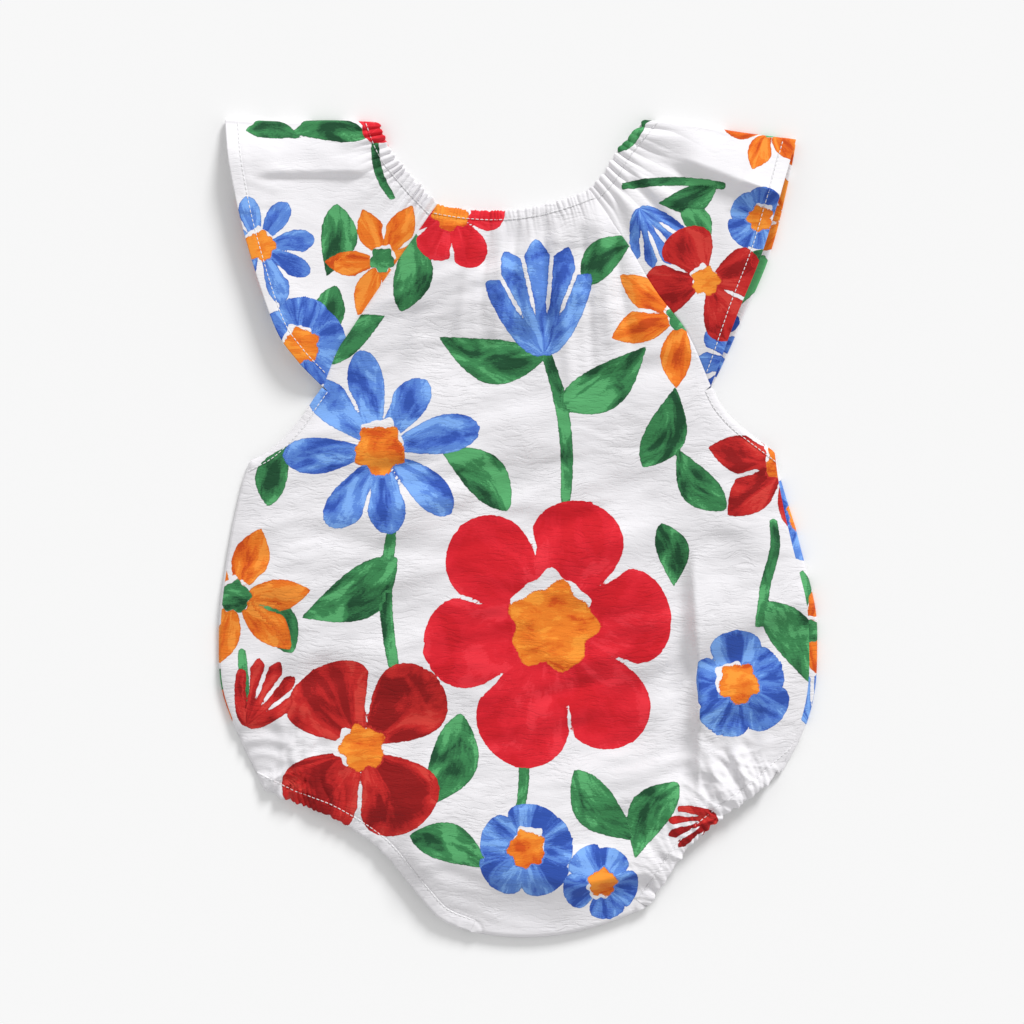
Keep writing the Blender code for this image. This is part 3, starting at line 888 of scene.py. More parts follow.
class Stretch:
    """Places over a stretch of a sleeve: rows of the under layer, of the fold and of the upper layer.
    kind is the layer of a row, share the way through it, turn its angle round the fold. first and last
    are the distances of the outer columns from the neck, or from the hem where they are negative."""

    def __init__(self, sleeve, columns, first, last):
        under, fold, upper = (round(count * FINE) for count in SLEEVE_ROWS)
        ways = np.linspace(1, 0, under), np.linspace(0, 1, fold + 2)[1:-1], np.linspace(0, 1, upper)
        self.kind = np.repeat((UNDER, FOLD, UPPER), (under, fold, upper))[:, None]
        self.share = np.concatenate(ways)[:, None]
        self.reach = sleeve.reach(np.where(self.kind == FOLD, 0.0, self.share))
        begin, end = (np.where(d >= 0, d, self.reach + d) / self.reach for d in (first, last))
        self.u = begin + (end - begin) * columns
        self.from_neck, self.from_hem = self.u * self.reach, (1 - self.u) * self.reach
        across = sleeve.plan(self.u, 1.0) - sleeve.plan(self.u, 0.0)
        self.width = np.linalg.norm(across, axis=-1)
        self.down = across / self.width[..., None]
        self.start = SHOULDER_FOLD / 2 / self.width
        turned = np.where(self.kind == FOLD, self.share, np.where(self.kind == UNDER, 0.0, 1.0))
        self.turn = turned * math.pi
        flat = self.start + (1 - self.start) * self.share
        self.v = np.where(self.kind == FOLD, self.start * (1 - np.sin(self.turn)), flat)


def bulge(v):
    """0 at the fold and at the seam of a sleeve, and 1 between them."""
    return np.sin(math.pi * np.clip(v, 0, 1)) ** 0.7


def make_sleeve(sleeve, prints, material):
    """A sleeve: its folded cloth, the casing at its neck and the hem at its outer end."""
    columns = np.linspace(0, 1, round(SLEEVE_COLUMNS * FINE))
    casing, hem = WIDTH["sleeve_casing"], WIDTH["sleeve_hem"]
    points, cloth, _, _ = sleeve.sheet(columns, casing - TUCK, TUCK - hem)
    points[..., 2] = np.maximum(points[..., 2], TABLE_GAP / 2)
    sheets = [Sheet(points, cloth, "out")]
    main = piece(f"sleeve_{sleeve.name}", sheets, prints, material)
    borders = []
    # Edge and inner line, counted from the neck or, below zero, from the hem.
    for node, edge, inner, thick in (
        (f"neck_casing_{sleeve.name}", 0.0, casing, BACK_THICK),
        (f"sleeve_hem_{sleeve.name}", -0.0001, -hem, HEM_THICK),
    ):
        points, cloth, outward, v = sleeve.sheet(BORDER_SHARES, edge, inner)
        thin = thick * (0.5 + 0.5 * ease((1 - v) * 6))
        loops = border(points + outward * LEDGE, outward, abs(inner), thin)
        loops[..., 2] = np.maximum(loops[..., 2], TABLE_GAP / 4)
        borders.append(border_piece(node, loops, cloth, prints, material))
    return main, borders


# ---- the print

# A petal or a leaf is a blade. Columns: where it is widest, how blunt its ends are.
BLADES = {
    "leaf": (0.42, 0.95), "round": (0.66, 0.5), "point": (0.52, 0.9), "cup": (0.45, 0.7),
    "stem": (0.5, 0.14),
}
# Columns: colour, petals, blade, then as shares of the reach the width of a petal, how far from the
# centre the petals touch, and the size of the heart.
FLOWERS = {
    "poppy": ("red", 6, "round", 0.70, 0.52, 0.31),
    "daisy": ("blue", 8, "round", 0.40, 0.4, 0.25),
    "dogwood": ("brick", 4, "round", 0.86, 0.3, 0.22),
    "lily": ("orange", 6, "point", 0.44, 0.3, 0.2),
    "rosette": ("blue", 5, "round", 0.98, 0.9, 0.36),
    "star": ("brick", 7, "point", 0.46, 0.3, 0.24),
}
# The petals of a tulip. Columns: lean, share of its length, its room from one angle to another.
TULIP = (
    (34, 0.8, 25.5, 94), (-34, 0.8, -94, -25.5), (17, 0.95, 8.5, 25.5), (-17, 0.95, -25.5, -8.5),
    (0, 1.0, -8.5, 8.5),
)
TULIP_WIDTH, TULIP_TOUCH, TULIP_BEND = 0.42, 0.35, 1 / 300   # shares of its length, and bend a degree
PETALS = ("blue", "brick", "red", "orange", "bare")
COLOURS = ("green", "blue", "brick", "red", "orange", "bare", "heart")
FAR = 9.0             # distance beyond which a shape of the print is not felt

# A flower's columns: kind, x, y of the centre, reach of the petals, turn.
FRONT_PRINT = {
    "flowers": (
        ("poppy", 16, -46, 63, 12), ("daisy", -64, 36, 45, 8), ("dogwood", -72, -102, 46, 38),
        ("lily", -131, -32, 36, 10), ("rosette", 107, -72, 25, 30), ("rosette", 4, -148, 23, 5),
        ("rosette", 39, -164, 18, 60), ("star", 124, 30, 38, 20), ("poppy", -31, 146, 27, 0),
        ("lily", 76, 98, 34, 25),
    ),
    # A tulip has its base there. Columns: colour, x, y, length, direction of its tip.
    "tulips": (("blue", 12, 80, 54, 94), ("brick", -126, -92, 34, 62), ("brick", 92, -134, 24, 200)),
    # Columns: x, y of the base, direction, length, width, bend.
    "leaves": (
        (12, 78, 168, 50, 21, 0.12), (18, 56, 34, 50, 21, -0.1), (-4, 8, 138, 44, 20, -0.1),
        (-56, -14, 212, 52, 23, 0.1), (-26, -86, 246, 48, 22, 0.12), (26, -112, 312, 44, 20, -0.1),
        (58, 28, 68, 40, 19, -0.1), (66, 2, 282, 30, 15, 0.1), (96, 8, 128, 36, 17, 0.1),
        (-90, 76, 38, 36, 17, 0.1), (-104, -58, 128, 34, 17, -0.1), (-50, -142, 338, 40, 18, 0.1),
        (74, -118, 240, 40, 19, -0.12), (58, 124, 84, 30, 15, 0.1), (118, -34, 300, 44, 20, 0.1),
        (-116, 10, 70, 30, 15, 0.1), (-54, 100, 84, 40, 18, -0.1), (30, 112, 44, 34, 16, 0.1),
    ),
    # Columns: x, y at the start and at the end, bend, width.
    "stems": (
        (12, 84, 22, 10, 0.06, 6.0), (-58, 0, -56, -70, -0.06, 6.0), (-2, -88, 0, -134, 0.08, 5.0),
        (-128, -56, -126, -86, 0.0, 4.6), (118, 4, 116, -46, 0.05, 5.0),
    ),
}
BACK_PRINT = {
    "flowers": (
        ("poppy", -46, -36, 60, 20), ("daisy", 58, 30, 40, 0), ("dogwood", 60, -104, 38, 35),
        ("lily", -60, 84, 32, 12), ("rosette", -104, 14, 22, 10), ("lily", 134, -48, 30, 0),
        ("rosette", 133, 6, 22, 0), ("star", -2, -150, 30, 5), ("poppy", 6, 106, 28, 14),
        ("lily", -136, -70, 28, 25),
    ),
    "tulips": (("blue", 136, -92, 26, 80), ("brick", -96, -130, 30, 60)),
    "leaves": (
        (-2, 6, 60, 44, 18, 0.1), (0, 20, 130, 40, 16, -0.1), (20, -70, 200, 40, 17, 0.1),
        (90, -40, 280, 40, 17, 0.1), (-90, -80, 250, 40, 16, -0.1), (-20, -112, 300, 36, 15, 0.1),
        (132, -20, 260, 24, 12, 0.0), (130, -76, 100, 24, 12, 0.0), (50, 84, 100, 36, 15, 0.1),
        (-100, 52, 100, 30, 14, 0.1),
    ),
    "stems": ((56, -8, 60, -70, 0.08, 4.6), (-2, -122, -10, -60, 0.1, 4.4)),
}
SLEEVE_PRINTS = {
    "left": {
        "flowers": (
            ("daisy", -119, 130, 27, 15), ("lily", -63, 124, 28, 0), ("rosette", -100, 84, 22, 20),
            ("poppy", -92, 236, 34, 0), ("daisy", -112, 274, 26, 0),
        ),
        "tulips": (("red", -70, 180, 27, 46),),
        "leaves": (
            (-70, 181, 178, 36, 14, -0.12), (-84, 150, 262, 34, 17, 0.1),
            (-126, 184, 352, 26, 10, 0.1), (-84, 112, 240, 30, 15, 0.1),
            (-112, 224, 130, 34, 16, 0.1),
        ),
        "stems": ((-66, 182, -58, 152, -0.1, 4.0), (-80, 250, -96, 276, 0.1, 5.0)),
    },
    "right": {
        "flowers": (
            ("dogwood", 87, 114, 29, 20), ("lily", 116, 186, 24, 10), ("rosette", 112, 143, 16, 0),
            ("daisy", 104, 76, 24, 0), ("lily", 130, 219, 21, 0), ("dogwood", 92, 232, 28, 0),
            ("daisy", 106, 284, 22, 0),
        ),
        "tulips": (("blue", 56, 148, 30, 300),),
        "leaves": (
            (46, 174, 52, 26, 13, 0.1), (92, 158, 196, 28, 13, 0.1), (76, 150, 300, 24, 12, 0.1),
            (104, 112, 52, 22, 12, 0.1), (76, 92, 250, 30, 15, 0.1), (138, 190, 96, 22, 12, 0.1),
            (122, 238, 100, 30, 14, 0.1), (86, 262, 60, 28, 13, 0.1),
        ),
        "stems": ((48, 158, 96, 158, 0.05, 4.2),),
    },
}


def unit(angle):
    """The direction at an angle in degrees."""
    return math.cos(math.radians(angle)), math.sin(math.radians(angle))


def blade(x, y, start, angle, length, width, kind, bend):
    """Signed distance from a petal or a leaf, and the place along and across it."""
    widest, blunt = BLADES[kind]
    c, s = unit(angle)
    a = (x - start[0]) * c + (y - start[1]) * s
    b = (y - start[1]) * c - (x - start[0]) * s
    t = np.clip(a / length, 0, 1)
    b = b - bend * length * np.sin(math.pi * t)
    power = math.log(0.5) / math.log(widest)

    def half(share):
        return width / 2 * np.sin(math.pi * np.clip(share, 0, 1) ** power) ** blunt

    slope = np.clip((half(t + 0.01) - half(t - 0.01)) / (0.02 * length), -1.5, 1.5)
    beside = (np.abs(b) - half(t)) / np.sqrt(1 + slope**2)
    beyond = np.hypot(a - t * length, b)
    return np.where((a > 0) & (a < length), beside, beyond), a, b


def sector(x, y, apex, first, last, merged):
    """Signed distance from the room a petal has between its neighbours, from one angle to another.
    Up to the distance merged the petals touch, and beyond it a slit opens between them."""
    (fx, fy), (lx, ly) = unit(first), unit(last)
    x, y = x - apex[0], y - apex[1]
    slit = 0.2 * (np.hypot(x, y) - merged) + 0.1 * np.sin(0.16 * (x + y) + first)
    return np.clip(slit, -1.5, 0.9) - np.minimum(fx * y - fy * x, ly * x - lx * y)


def tulip_petals(colour, x, y, length, angle):
    """The petals of a tulip, the outer ones first."""
    petals = []
    for lean, share, first, last in TULIP:
        room = ((x, y), angle + first, angle + last, TULIP_TOUCH * length)
        size = length * share, TULIP_WIDTH * length
        petals.append((colour, (x, y), angle + lean, *size, "cup", -lean * TULIP_BEND, room))
    return petals


def flower_petals(name, x, y, reach, turn):
    """The petals of a flower, unlike one another in length, width and bend."""
    colour, count, kind, width, merged, _ = FLOWERS[name]
    draw = np.random.RandomState(int(abs(x) + 7 * abs(y))).uniform
    angles = turn + 360 / count * (np.arange(count) + 0.16 * draw(-1, 1, count))
    limits = (angles + np.append(angles[1:], angles[0] + 360)) / 2
    inner = 0.06 * reach
    petals = []
    for k, angle in enumerate(angles):
        room = ((x, y), limits[k - 1] - (360 if k == 0 else 0), limits[k], merged * reach)
        start = (x + inner * unit(angle)[0], y + inner * unit(angle)[1])
        length = reach * draw(0.86, 1.06) - inner
        broad = width * reach * draw(0.9, 1.1)
        petals.append((colour, start, angle, length, broad, kind, 0.05 * draw(-1, 1), room))
    return petals


def shapes_of(prints):
    """Colour, blade and room of each leaf, stem and petal of a print, the lowest first."""
    shapes = []
    for x0, y0, x1, y1, bend, width in prints["stems"]:
        angle, length = math.degrees(math.atan2(y1 - y0, x1 - x0)), math.hypot(x1 - x0, y1 - y0)
        shapes.append(("green", (x0, y0), angle, length, width, "stem", bend, None))
    for x, y, angle, length, width, bend in prints["leaves"]:
        shapes.append(("green", (x, y), angle, length, width, "leaf", bend, None))
    for tulip in prints["tulips"]:
        shapes += tulip_petals(*tulip)
    for flower in prints["flowers"]:
        shapes += flower_petals(*flower)
    return shapes


def hearts_of(prints):
    """Colour, centre and size of the ragged discs in the middle of the flowers."""
    hearts = []
    for name, x, y, reach, turn in prints["flowers"]:
        colour, _, _, _, _, size = FLOWERS[name]
        c, s = unit(3 * turn + 60)
        away = 0.42 * size * reach
        hearts.append(("bare", x + away * c, y + away * s, 0.86 * size * reach))
        hearts.append(("green" if colour == "orange" else "heart", x, y, size * reach))
    return hearts


class Painting:
    """Distances from the edge of each colour, negative inside it, and the run of the brush."""

    def __init__(self, x, y):
        self.x, self.y = x, y
        self.layers = {colour: np.full(x.shape, FAR) for colour in COLOURS}
        self.grain = np.column_stack([x, y, np.zeros_like(x)])
        self.nearest = np.full(x.shape, FAR)

    def add_shape(self, index, colour, start, angle, length, width, kind, bend, room):
        """Adds a leaf, a stem or a petal."""
        close = np.flatnonzero(np.hypot(self.x - start[0], self.y - start[1]) < length + FAR)
        x, y = self.x[close], self.y[close]
        distance, a, b = blade(x, y, start, angle, length, width, kind, bend)
        if room:
            distance = np.maximum(distance, sector(x, y, *room))
        self.layers[colour][close] = np.minimum(self.layers[colour][close], distance)
        # The brush follows the nearest shape, and runs on a little way outside it.
        best = distance < np.minimum(self.nearest[close], 2.0)
        where = close[best]
        self.nearest[where] = distance[best]
        if room:
            self.grain[where] = brushed(x[best], y[best], room[0])
        else:
            run = np.full(len(where), (index * 0.6) % 1)
            self.grain[where] = np.column_stack([a[best], b[best] + 40 * index, run])

    def add_heart(self, index, colour, cx, cy, size):
        """Adds a ragged disc. A green one also covers the petals."""
        x, y = self.x - cx, self.y - cy
        around = np.arctan2(y, x)
        radius = size * (1 + 0.10 * np.sin(5 * around + index) + 0.06 * np.sin(9 * around + 2 * index))
        distance = np.hypot(x, y) - radius
        if colour != "bare":
            inside = distance < 0.3
            run = np.full_like(x, 0.3 + 0.07 * index)
            self.grain[inside] = np.column_stack([x, y, run])[inside]
        if colour == "green":
            for over in PETALS:
                self.layers[over] = np.maximum(self.layers[over], -distance)
        self.layers[colour] = np.minimum(self.layers[colour], distance)


def brushed(x, y, centre):
    """The run of the brush round a flower: out from its heart, and on a ring that closes."""
    around = np.arctan2(y - centre[1], x - centre[0])
    out, ring = np.hypot(x - centre[0], y - centre[1]), 70 * (int(abs(centre[0])) % 17)
    return np.column_stack([out, 26 * np.cos(around) + ring, 0.27 * np.sin(around)])


def painted(x, y, prints):
    """The attributes of a print at points of the cloth."""
    painting = Painting(x, y)
    for index, shape in enumerate(shapes_of(prints)):
        painting.add_shape(index, *shape)
    for index, heart in enumerate(hearts_of(prints)):
        painting.add_heart(index, *heart)
    return {**painting.layers, "grain": painting.grain}


# ---- materials

# Colours of the brush, from its darkest stroke to its lightest, in sRGB steps of 255.
PAINT = {
    "green": ((20, 72, 42), (42, 104, 62), (55, 128, 76), (86, 168, 106)),
    "blue": ((44, 80, 170), (66, 105, 194), (88, 132, 211), (122, 169, 236)),
    "brick": ((142, 8, 10), (172, 22, 23), (191, 33, 31), (206, 57, 49)),
    "red": ((202, 16, 32), (209, 22, 39), (215, 27, 43), (228, 44, 58)),
    "orange": ((196, 72, 8), (220, 98, 18), (231, 118, 28), (243, 146, 52)),
    "heart": ((206, 80, 12), (223, 109, 23), (232, 125, 32), (243, 149, 48)),
}
# How those colours follow one another along the stroke. Columns: place, colour, 0 being the darkest.
STROKES = ((0.445, 0), (0.46, 1), (0.487, 1), (0.503, 2), (0.55, 2), (0.57, 3))
RAGGED, WOBBLE = 3.2, 1.3             # unevenness of the edge of a heart, and of any other shape
EDGE_BLUR = 0.14      # half the width over which the paint begins
# The bare cloth, and the height of its crinkle in millimetres. Body and sleeves are one cloth:
# the sleeves' lighter ground is painted light, and the body's darker ground is painted shade of its
# layers.
BODY_GROUND, BODY_CRINKLE = (0.80, 0.785, 0.81), 0.19
SLEEVE_GROUND, SLEEVE_CRINKLE = (0.845, 0.83, 0.855), 0.09
STAIN = 0.975         # of the ground where it is darkest
WEAVE_HEIGHT, TWIST_HEIGHT = 0.05, 0.05   # of the cloth and of its thread, in millimetres
# Thread colours: the dark one is painted shade in the grooves of the twist, the light one is on its
# ridges.
THREAD_DARK, THREAD_LIGHT = (0.74, 0.73, 0.74), (0.86, 0.86, 0.87)


def linear(*srgb):
    """A colour written in sRGB steps of 255, as linear values."""
    values = [c / 255 for c in srgb]
    return tuple(c / 12.92 if c <= 0.04045 else ((c + 0.055) / 1.055) ** 2.4 for c in values)


class Graph:
    """A material's node tree, with a short way to add a node and wire it."""

    def __init__(self, name, fixed):
        self.material = bpy.data.materials.new(name)
        self.material.use_nodes = True
        self.tree = self.material.node_tree
        self.shader = self.tree.nodes["Principled BSDF"]
        for socket, value in fixed.items():
            self.shader.inputs[socket].default_value = value

    def add(self, kind, inputs, output=0, **settings):
        """A new node with its settings and inputs. It gives one of its outputs."""
        node = self.tree.nodes.new("ShaderNode" + kind)
        for key, value in settings.items():
            setattr(node, key, value)
        for key, value in inputs.items():
            if isinstance(value, bpy.types.NodeSocket):
                self.tree.links.new(value, node.inputs[key])
            else:
                node.inputs[key].default_value = value
        return node.outputs[output]

    def wire(self, output, socket):
        """Links an output to the shader."""
        self.tree.links.new(output, self.shader.inputs[socket])

    def math(self, operation, a, b):
        return self.add("Math", {0: a, 1: b}, operation=operation)

    def weighted(self, *parts):
        """The sum of values, each times its weight."""
        total = None
        for value, weight in parts:
            value = self.math("MULTIPLY", value, weight)
            total = value if total is None else self.math("ADD", total, value)
        return total

    def attribute(self, name, output="Fac"):
        return self.add("Attribute", {}, output, attribute_name=name)

    def noise(self, vector, scale, detail, roughness=0.5, distortion=0.0):
        """Noise over a vector. scale is one number, or three that the vector is multiplied by."""
        if isinstance(scale, tuple):
            vector = self.add("VectorMath", {0: vector, 1: scale}, operation="MULTIPLY")
            scale = 1.0
        inputs = {
            "Vector": vector, "Scale": scale, "Detail": detail, "Roughness": roughness,
            "Distortion": distortion,
        }
        return self.add("TexNoise", inputs, noise_dimensions="3D")

    def ranged(self, value, low, high, to_low=0.0, to_high=1.0):
        """A value softly carried from one range to another."""
        inputs = {0: value, 1: low, 2: high, 3: to_low, 4: to_high}
        return self.add("MapRange", inputs, interpolation_type="SMOOTHSTEP")

    def mixed(self, factor, a, b):
        """The colour a where the factor is 0, and b where it is 1."""
        a, b = (c if isinstance(c, bpy.types.NodeSocket) else (*c, 1) for c in (a, b))
        return self.add("Mix", {0: factor, 6: a, 7: b}, output=2, data_type="RGBA")

    def ramp(self, value, stops):
        """Colours along a value."""
        output = self.add("ValToRGB", {0: value})
        elements = output.node.color_ramp.elements
        while len(elements) < len(stops):
            elements.new(0.5)
        for element, (place, colour) in zip(elements, stops):
            element.position, element.color = place, (*colour, 1)
        return output

    def bump(self, height, distance, **more):
        """The normal over a height, whose full range is that many millimetres."""
        inputs = {"Strength": 1.0, "Distance": distance * MM, "Height": height, **more}
        return self.add("Bump", inputs, output="Normal")


def brush_stroke(g, cloth, grain):
    """How light the paint is, along strokes that follow the grain of each shape."""
    broad = g.noise(grain, (0.045, 0.095, 9.0), 3.0, 0.55, 0.6)
    streak = g.noise(grain, (0.12, 0.9, 86.0), 4.0, 0.7, 0.3)
    speck = g.noise(cloth, (0.9, 2.0, 1.0), 4.0, 0.85)
    return g.weighted((broad, 0.68), (streak, 0.12), (speck, 0.2))


def paint_layer(g, colour, key, distance, stroke):
    """One colour of the print over what lies below it."""
    inside = g.ranged(distance, -EDGE_BLUR, EDGE_BLUR, 1.0, 0.0)
    tones = [linear(*tone) for tone in PAINT[key]]
    # The middle of a petal or a leaf is darker than its margin, and its rim is darkest.
    tone = g.math("ADD", stroke, g.ranged(distance, -9.0, -2.0, -0.018, 0.026))
    paint = g.ramp(tone, [(place, tones[k]) for place, k in STROKES])
    rim = g.ranged(distance, -0.6, -0.15, 0.0, 0.4)
    paint = g.mixed(rim, paint, tuple(0.8 * c for c in tones[0]))
    return g.mixed(inside, colour, paint)


def crinkled(g, cloth):
    """Short creases across the cloth, that wander up and down and lie in patches."""
    wander = g.add("CombineXYZ", {"Y": g.math("MULTIPLY", g.noise(cloth, 0.045, 2.0), 9.0)})
    slanted = g.add("VectorMath", {0: cloth, 1: wander}, operation="ADD")
    lines = g.noise(slanted, (0.15, 0.72, 1.0), 3.0, 0.6, 0.5)
    pits = g.ranged(lines, 0.34, 0.54)
    patches = g.ranged(g.noise(cloth, 0.04, 1.0), 0.38, 0.62, 0.45, 1.35)
    soft = g.noise(slanted, (0.07, 0.2, 1.0), 2.0)
    creased = g.math("MULTIPLY", g.math("ADD", pits, lines), patches)
    return g.weighted((creased, 0.5), (soft, 1.2))


def printed_cotton(name, ground, crinkle):
    """Crinkle cotton with painted flowers. crinkle is the height of its creases in millimetres."""
    g = Graph(name, {"Specular IOR Level": 0.25, "Sheen Weight": 0.12, "Sheen Roughness": 0.5})
    cloth, grain = g.attribute("cloth", "Vector"), g.attribute("grain", "Vector")
    wobble = g.math("SUBTRACT", g.noise(cloth, 0.42, 3.0, 0.6), 0.5)
    ragged = g.math("SUBTRACT", g.noise(cloth, 0.75, 4.0, 0.75), 0.5)
    stroke = brush_stroke(g, cloth, grain)
    stained = tuple(c * STAIN for c in ground)
    colour = g.ramp(g.noise(cloth, 0.06, 3.0), ((0.35, stained), (0.65, ground)))
    for key in COLOURS:
        distance = g.attribute(key)
        loose, size = (ragged, RAGGED) if key == "heart" else (wobble, WOBBLE)
        distance = g.math("ADD", distance, g.math("MULTIPLY", loose, size))
        if key == "bare":
            colour = g.mixed(g.ranged(distance, -EDGE_BLUR, EDGE_BLUR, 1.0, 0.0), colour, ground)
        else:
            colour = paint_layer(g, colour, key, distance, stroke)
    g.wire(colour, "Base Color")
    creased = crinkled(g, cloth)
    weft, warp = g.noise(cloth, (0.6, 3.4, 1.0), 1.0), g.noise(cloth, (3.4, 0.6, 1.0), 1.0)
    weave = g.math("ADD", weft, warp)
    g.wire(g.bump(creased, crinkle, Normal=g.bump(weave, WEAVE_HEIGHT)), "Normal")
    g.wire(g.ranged(weave, 0.8, 1.2, 0.78, 0.88), "Roughness")
    return g.material


def thread_material():
    """White sewing thread with its twist, painted darker in the twist's grooves as painted shade."""
    g = Graph("thread", {"Roughness": 0.7, "Sheen Weight": 0.1})
    place = g.add("TexCoord", {}, output="Object")
    inputs = {"Vector": place, "Scale": 900.0, "Distortion": 1.5}
    twist = g.add("TexWave", inputs, output="Fac", bands_direction="DIAGONAL")
    g.wire(g.ramp(twist, ((0.2, THREAD_DARK), (0.7, THREAD_LIGHT))), "Base Color")
    g.wire(g.bump(twist, TWIST_HEIGHT, Strength=0.6), "Normal")
    return g.material


# ---- stitches

STITCH, STITCH_STEP, THREAD = 1.6, 2.15, 0.2      # length, spacing, radius
THREAD_SIDES = 6
ROW_POINTS = 120
# Rings of a stitch. Columns: place along it, share of the radius, lift.
DASH = ((-0.5, 0.4, -0.10), (-0.3, 1.0, 0.06), (0.3, 1.0, 0.06), (0.5, 0.4, -0.10))


def surface_of(objects):
    """A tree of the meshes of some pieces, to find their heights."""
    points, faces = [], []
    for obj in objects:
        first = len(points)
        points += [v.co.copy() for v in obj.data.vertices]
        faces += [[first + k for k in face.vertices] for face in obj.data.polygons]
    return BVHTree.FromPolygons(points, faces)


def dashes(line, tree, up):
    """Centre, run and side of each stitch of a row. up is 1 on top of the romper and -1 under it."""
    run = run_of(line)
    count = int(run[-1] / STITCH_STEP)
    found = []
    for k in range(count):
        ends = []
        for share in (-0.5, 0.5):
            at = (k + 0.5) * run[-1] / count + share * STITCH
            x, y = (np.interp(at, run, line[:, j]) * MM for j in (0, 1))
            hit = tree.ray_cast(Vector((x, y, 0.05 * up)), Vector((0, 0, -up)))[0]
            if hit is not None:
                ends.append(np.array(hit) / MM)
        # A stitch that would bridge a step of the cloth is left out.
        if len(ends) == 2 and np.linalg.norm(ends[1] - ends[0]) < 1.6 * STITCH:
            found.append(((ends[0] + ends[1]) / 2, ends[1] - ends[0], up))
    return found


def stitch(centre, run, up):
    """The points of one stitch, ring after ring."""
    turns = np.linspace(0, 2 * math.pi, THREAD_SIDES, endpoint=False)[:, None]
    forward = run / np.linalg.norm(run)
    side = np.cross((0, 0, up), forward)
    side /= np.linalg.norm(side)
    rise = np.cross(forward, side)
    rings = []
    for share, size, lift in DASH:
        middle = centre + run * share + rise * (lift + 0.5 * THREAD)
        rings.append(middle + (np.cos(turns) * side + np.sin(turns) * rise * 0.8) * THREAD * size)
    return np.concatenate(rings)


def make_stitches(rows, material):
    """Rows of running stitches as one mesh."""
    marks = [mark for row in rows for mark in row]
    points = np.concatenate([stitch(*mark) for mark in marks])
    points[:, 2] = np.maximum(points[:, 2], TABLE_GAP / 8)
    rings, n = len(DASH), THREAD_SIDES
    one = [
        (i * n + j, i * n + (j + 1) % n, (i + 1) * n + (j + 1) % n, (i + 1) * n + j)
        for i in range(rings - 1) for j in range(n)
    ]
    one += [tuple(reversed(range(n))), tuple(range((rings - 1) * n, rings * n))]
    faces = [[k * rings * n + corner for corner in face] for k in range(len(marks)) for face in one]
    cloth_object("stitches", points, faces, material)


def body_rows(body, tree, up):
    """The stitches along the casings and hems of the front or of the back."""
    lines = [body.neck_line(WIDTH["neck"] - STITCH_IN, ROW_POINTS)[2:-2]]
    for name in SIDES:
        lines.append(body.inner(name, "leg", STITCH_IN)[3:])
        lines.append(body.inner(name, "armhole", STITCH_IN))
    return [dashes(line, tree, up) for line in lines]


def sleeve_rows(sleeve, tree, up):
    """The stitches along the casing and the hem of one layer of a sleeve."""
    v = np.linspace(0.015 if up == 1 else 0.04, 0.985, ROW_POINTS)
    casing, hem = ((WIDTH[key] - STITCH_IN) / sleeve.reach(v) for key in ("sleeve_casing", "sleeve_hem"))
    return [dashes(sleeve.plan(u, v), tree, up) for u in (casing, 1 - hem)]


# ---- stage

FLOOR_COLOUR = (0.93, 0.93, 0.93)
FLOOR_HALF = 2.0      # metres
KEY_FROM = (0.43, 0.86, 0.50)
KEY_STRENGTH, KEY_SOFTNESS = 2.5, 17.0
AMBIENT = 0.64
VIEW_CENTRE = (-2.8, 7.2)     # middle of the camera's view, and its width
VIEW_WIDTH = 476.0
LENS, SENSOR = 100, 36        # of the camera


def make_floor():
    """A pale floor."""
    mesh = bpy.data.meshes.new("floor")
    corners = [(x * FLOOR_HALF, y * FLOOR_HALF, 0) for x, y in ((-1, -1), (1, -1), (1, 1), (-1, 1))]
    mesh.from_pydata(corners, [], [(0, 1, 2, 3)])
    looks = {"Base Color": (*FLOOR_COLOUR, 1), "Roughness": 1.0, "Specular IOR Level": 0.0}
    mesh.materials.append(Graph("floor", looks).material)
    placed("floor", mesh)


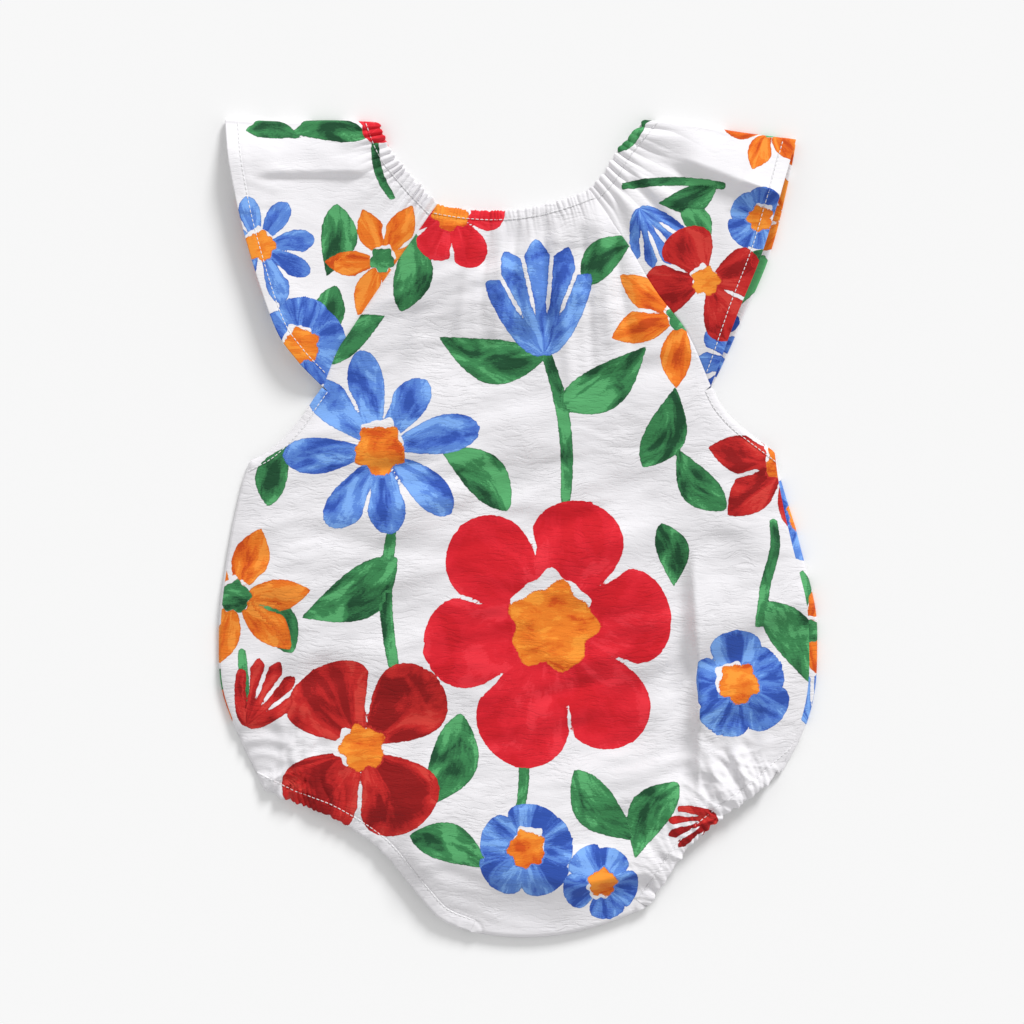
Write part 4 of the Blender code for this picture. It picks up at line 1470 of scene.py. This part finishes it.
def make_world():
    """An even light from all round, that the camera sees in the colour of the floor."""
    world = bpy.data.worlds.new("studio")
    world.use_nodes = True
    tree = world.node_tree
    light = tree.nodes["Background"]
    light.inputs["Color"].default_value = (1, 1, 1, 1)
    light.inputs["Strength"].default_value = AMBIENT
    seen = tree.nodes.new("ShaderNodeBackground")
    seen.inputs["Color"].default_value = (*FLOOR_COLOUR, 1)
    choice = tree.nodes.new("ShaderNodeMixShader")
    path = tree.nodes.new("ShaderNodeLightPath")
    sources = (path.outputs["Is Camera Ray"], light.outputs[0], seen.outputs[0])
    for source, socket in zip(sources, choice.inputs):
        tree.links.new(source, socket)
    tree.links.new(choice.outputs[0], tree.nodes["World Output"].inputs["Surface"])
    return world


def make_stage():
    """The floor, a soft lamp from the upper right and the camera straight above the romper."""
    scene = bpy.context.scene
    make_floor()
    lamp = bpy.data.lights.new("key", "SUN")
    lamp.energy, lamp.angle = KEY_STRENGTH, math.radians(KEY_SOFTNESS)
    placed("key", lamp).rotation_euler = Vector(KEY_FROM).to_track_quat("Z", "Y").to_euler()
    scene.world = make_world()
    lens = bpy.data.cameras.new("camera")
    lens.lens, lens.sensor_width = LENS, SENSOR
    scene.camera = placed("camera", lens)
    scene.camera.location = Vector((*VIEW_CENTRE, VIEW_WIDTH * LENS / SENSOR)) * MM
    scene.view_settings.view_transform = "Standard"


# ---- the romper

front_body = Body(FRONT_POINTS)
back_body = Body(BACK_POINTS, peeks=True)
front = Front(front_body, back_body, ("leg", "armhole", "raglan"))
# One cloth in two copies: the sleeves' lighter ground is painted light, the body's darker one painted
# shade.
body_cotton = printed_cotton("body_cotton", BODY_GROUND, BODY_CRINKLE)
sleeve_cotton = printed_cotton("sleeve_cotton", SLEEVE_GROUND, SLEEVE_CRINKLE)
front_panel, front_borders = make_front(front_body, front, FRONT_PRINT, body_cotton)
back_panel, back_borders = make_back(back_body, front_body, front, BACK_PRINT, body_cotton)
plans = [Sleeve(name, front_body.edges[name]["raglan"]) for name in SIDES]
sleeves = [make_sleeve(plan, SLEEVE_PRINTS[plan.name], sleeve_cotton) for plan in plans]

rows = []
sleeve_pieces = [obj for main, edges in sleeves for obj in (main, *edges)]
for body, layer, up in (
    (front_body, [front_panel, *front_borders], 1), (back_body, [back_panel, *back_borders], -1)
):
    tree = surface_of(layer + sleeve_pieces)
    rows += body_rows(body, tree, up)
    for plan in plans:
        rows += sleeve_rows(plan, tree, up)
make_stitches(rows, thread_material())

make_stage()
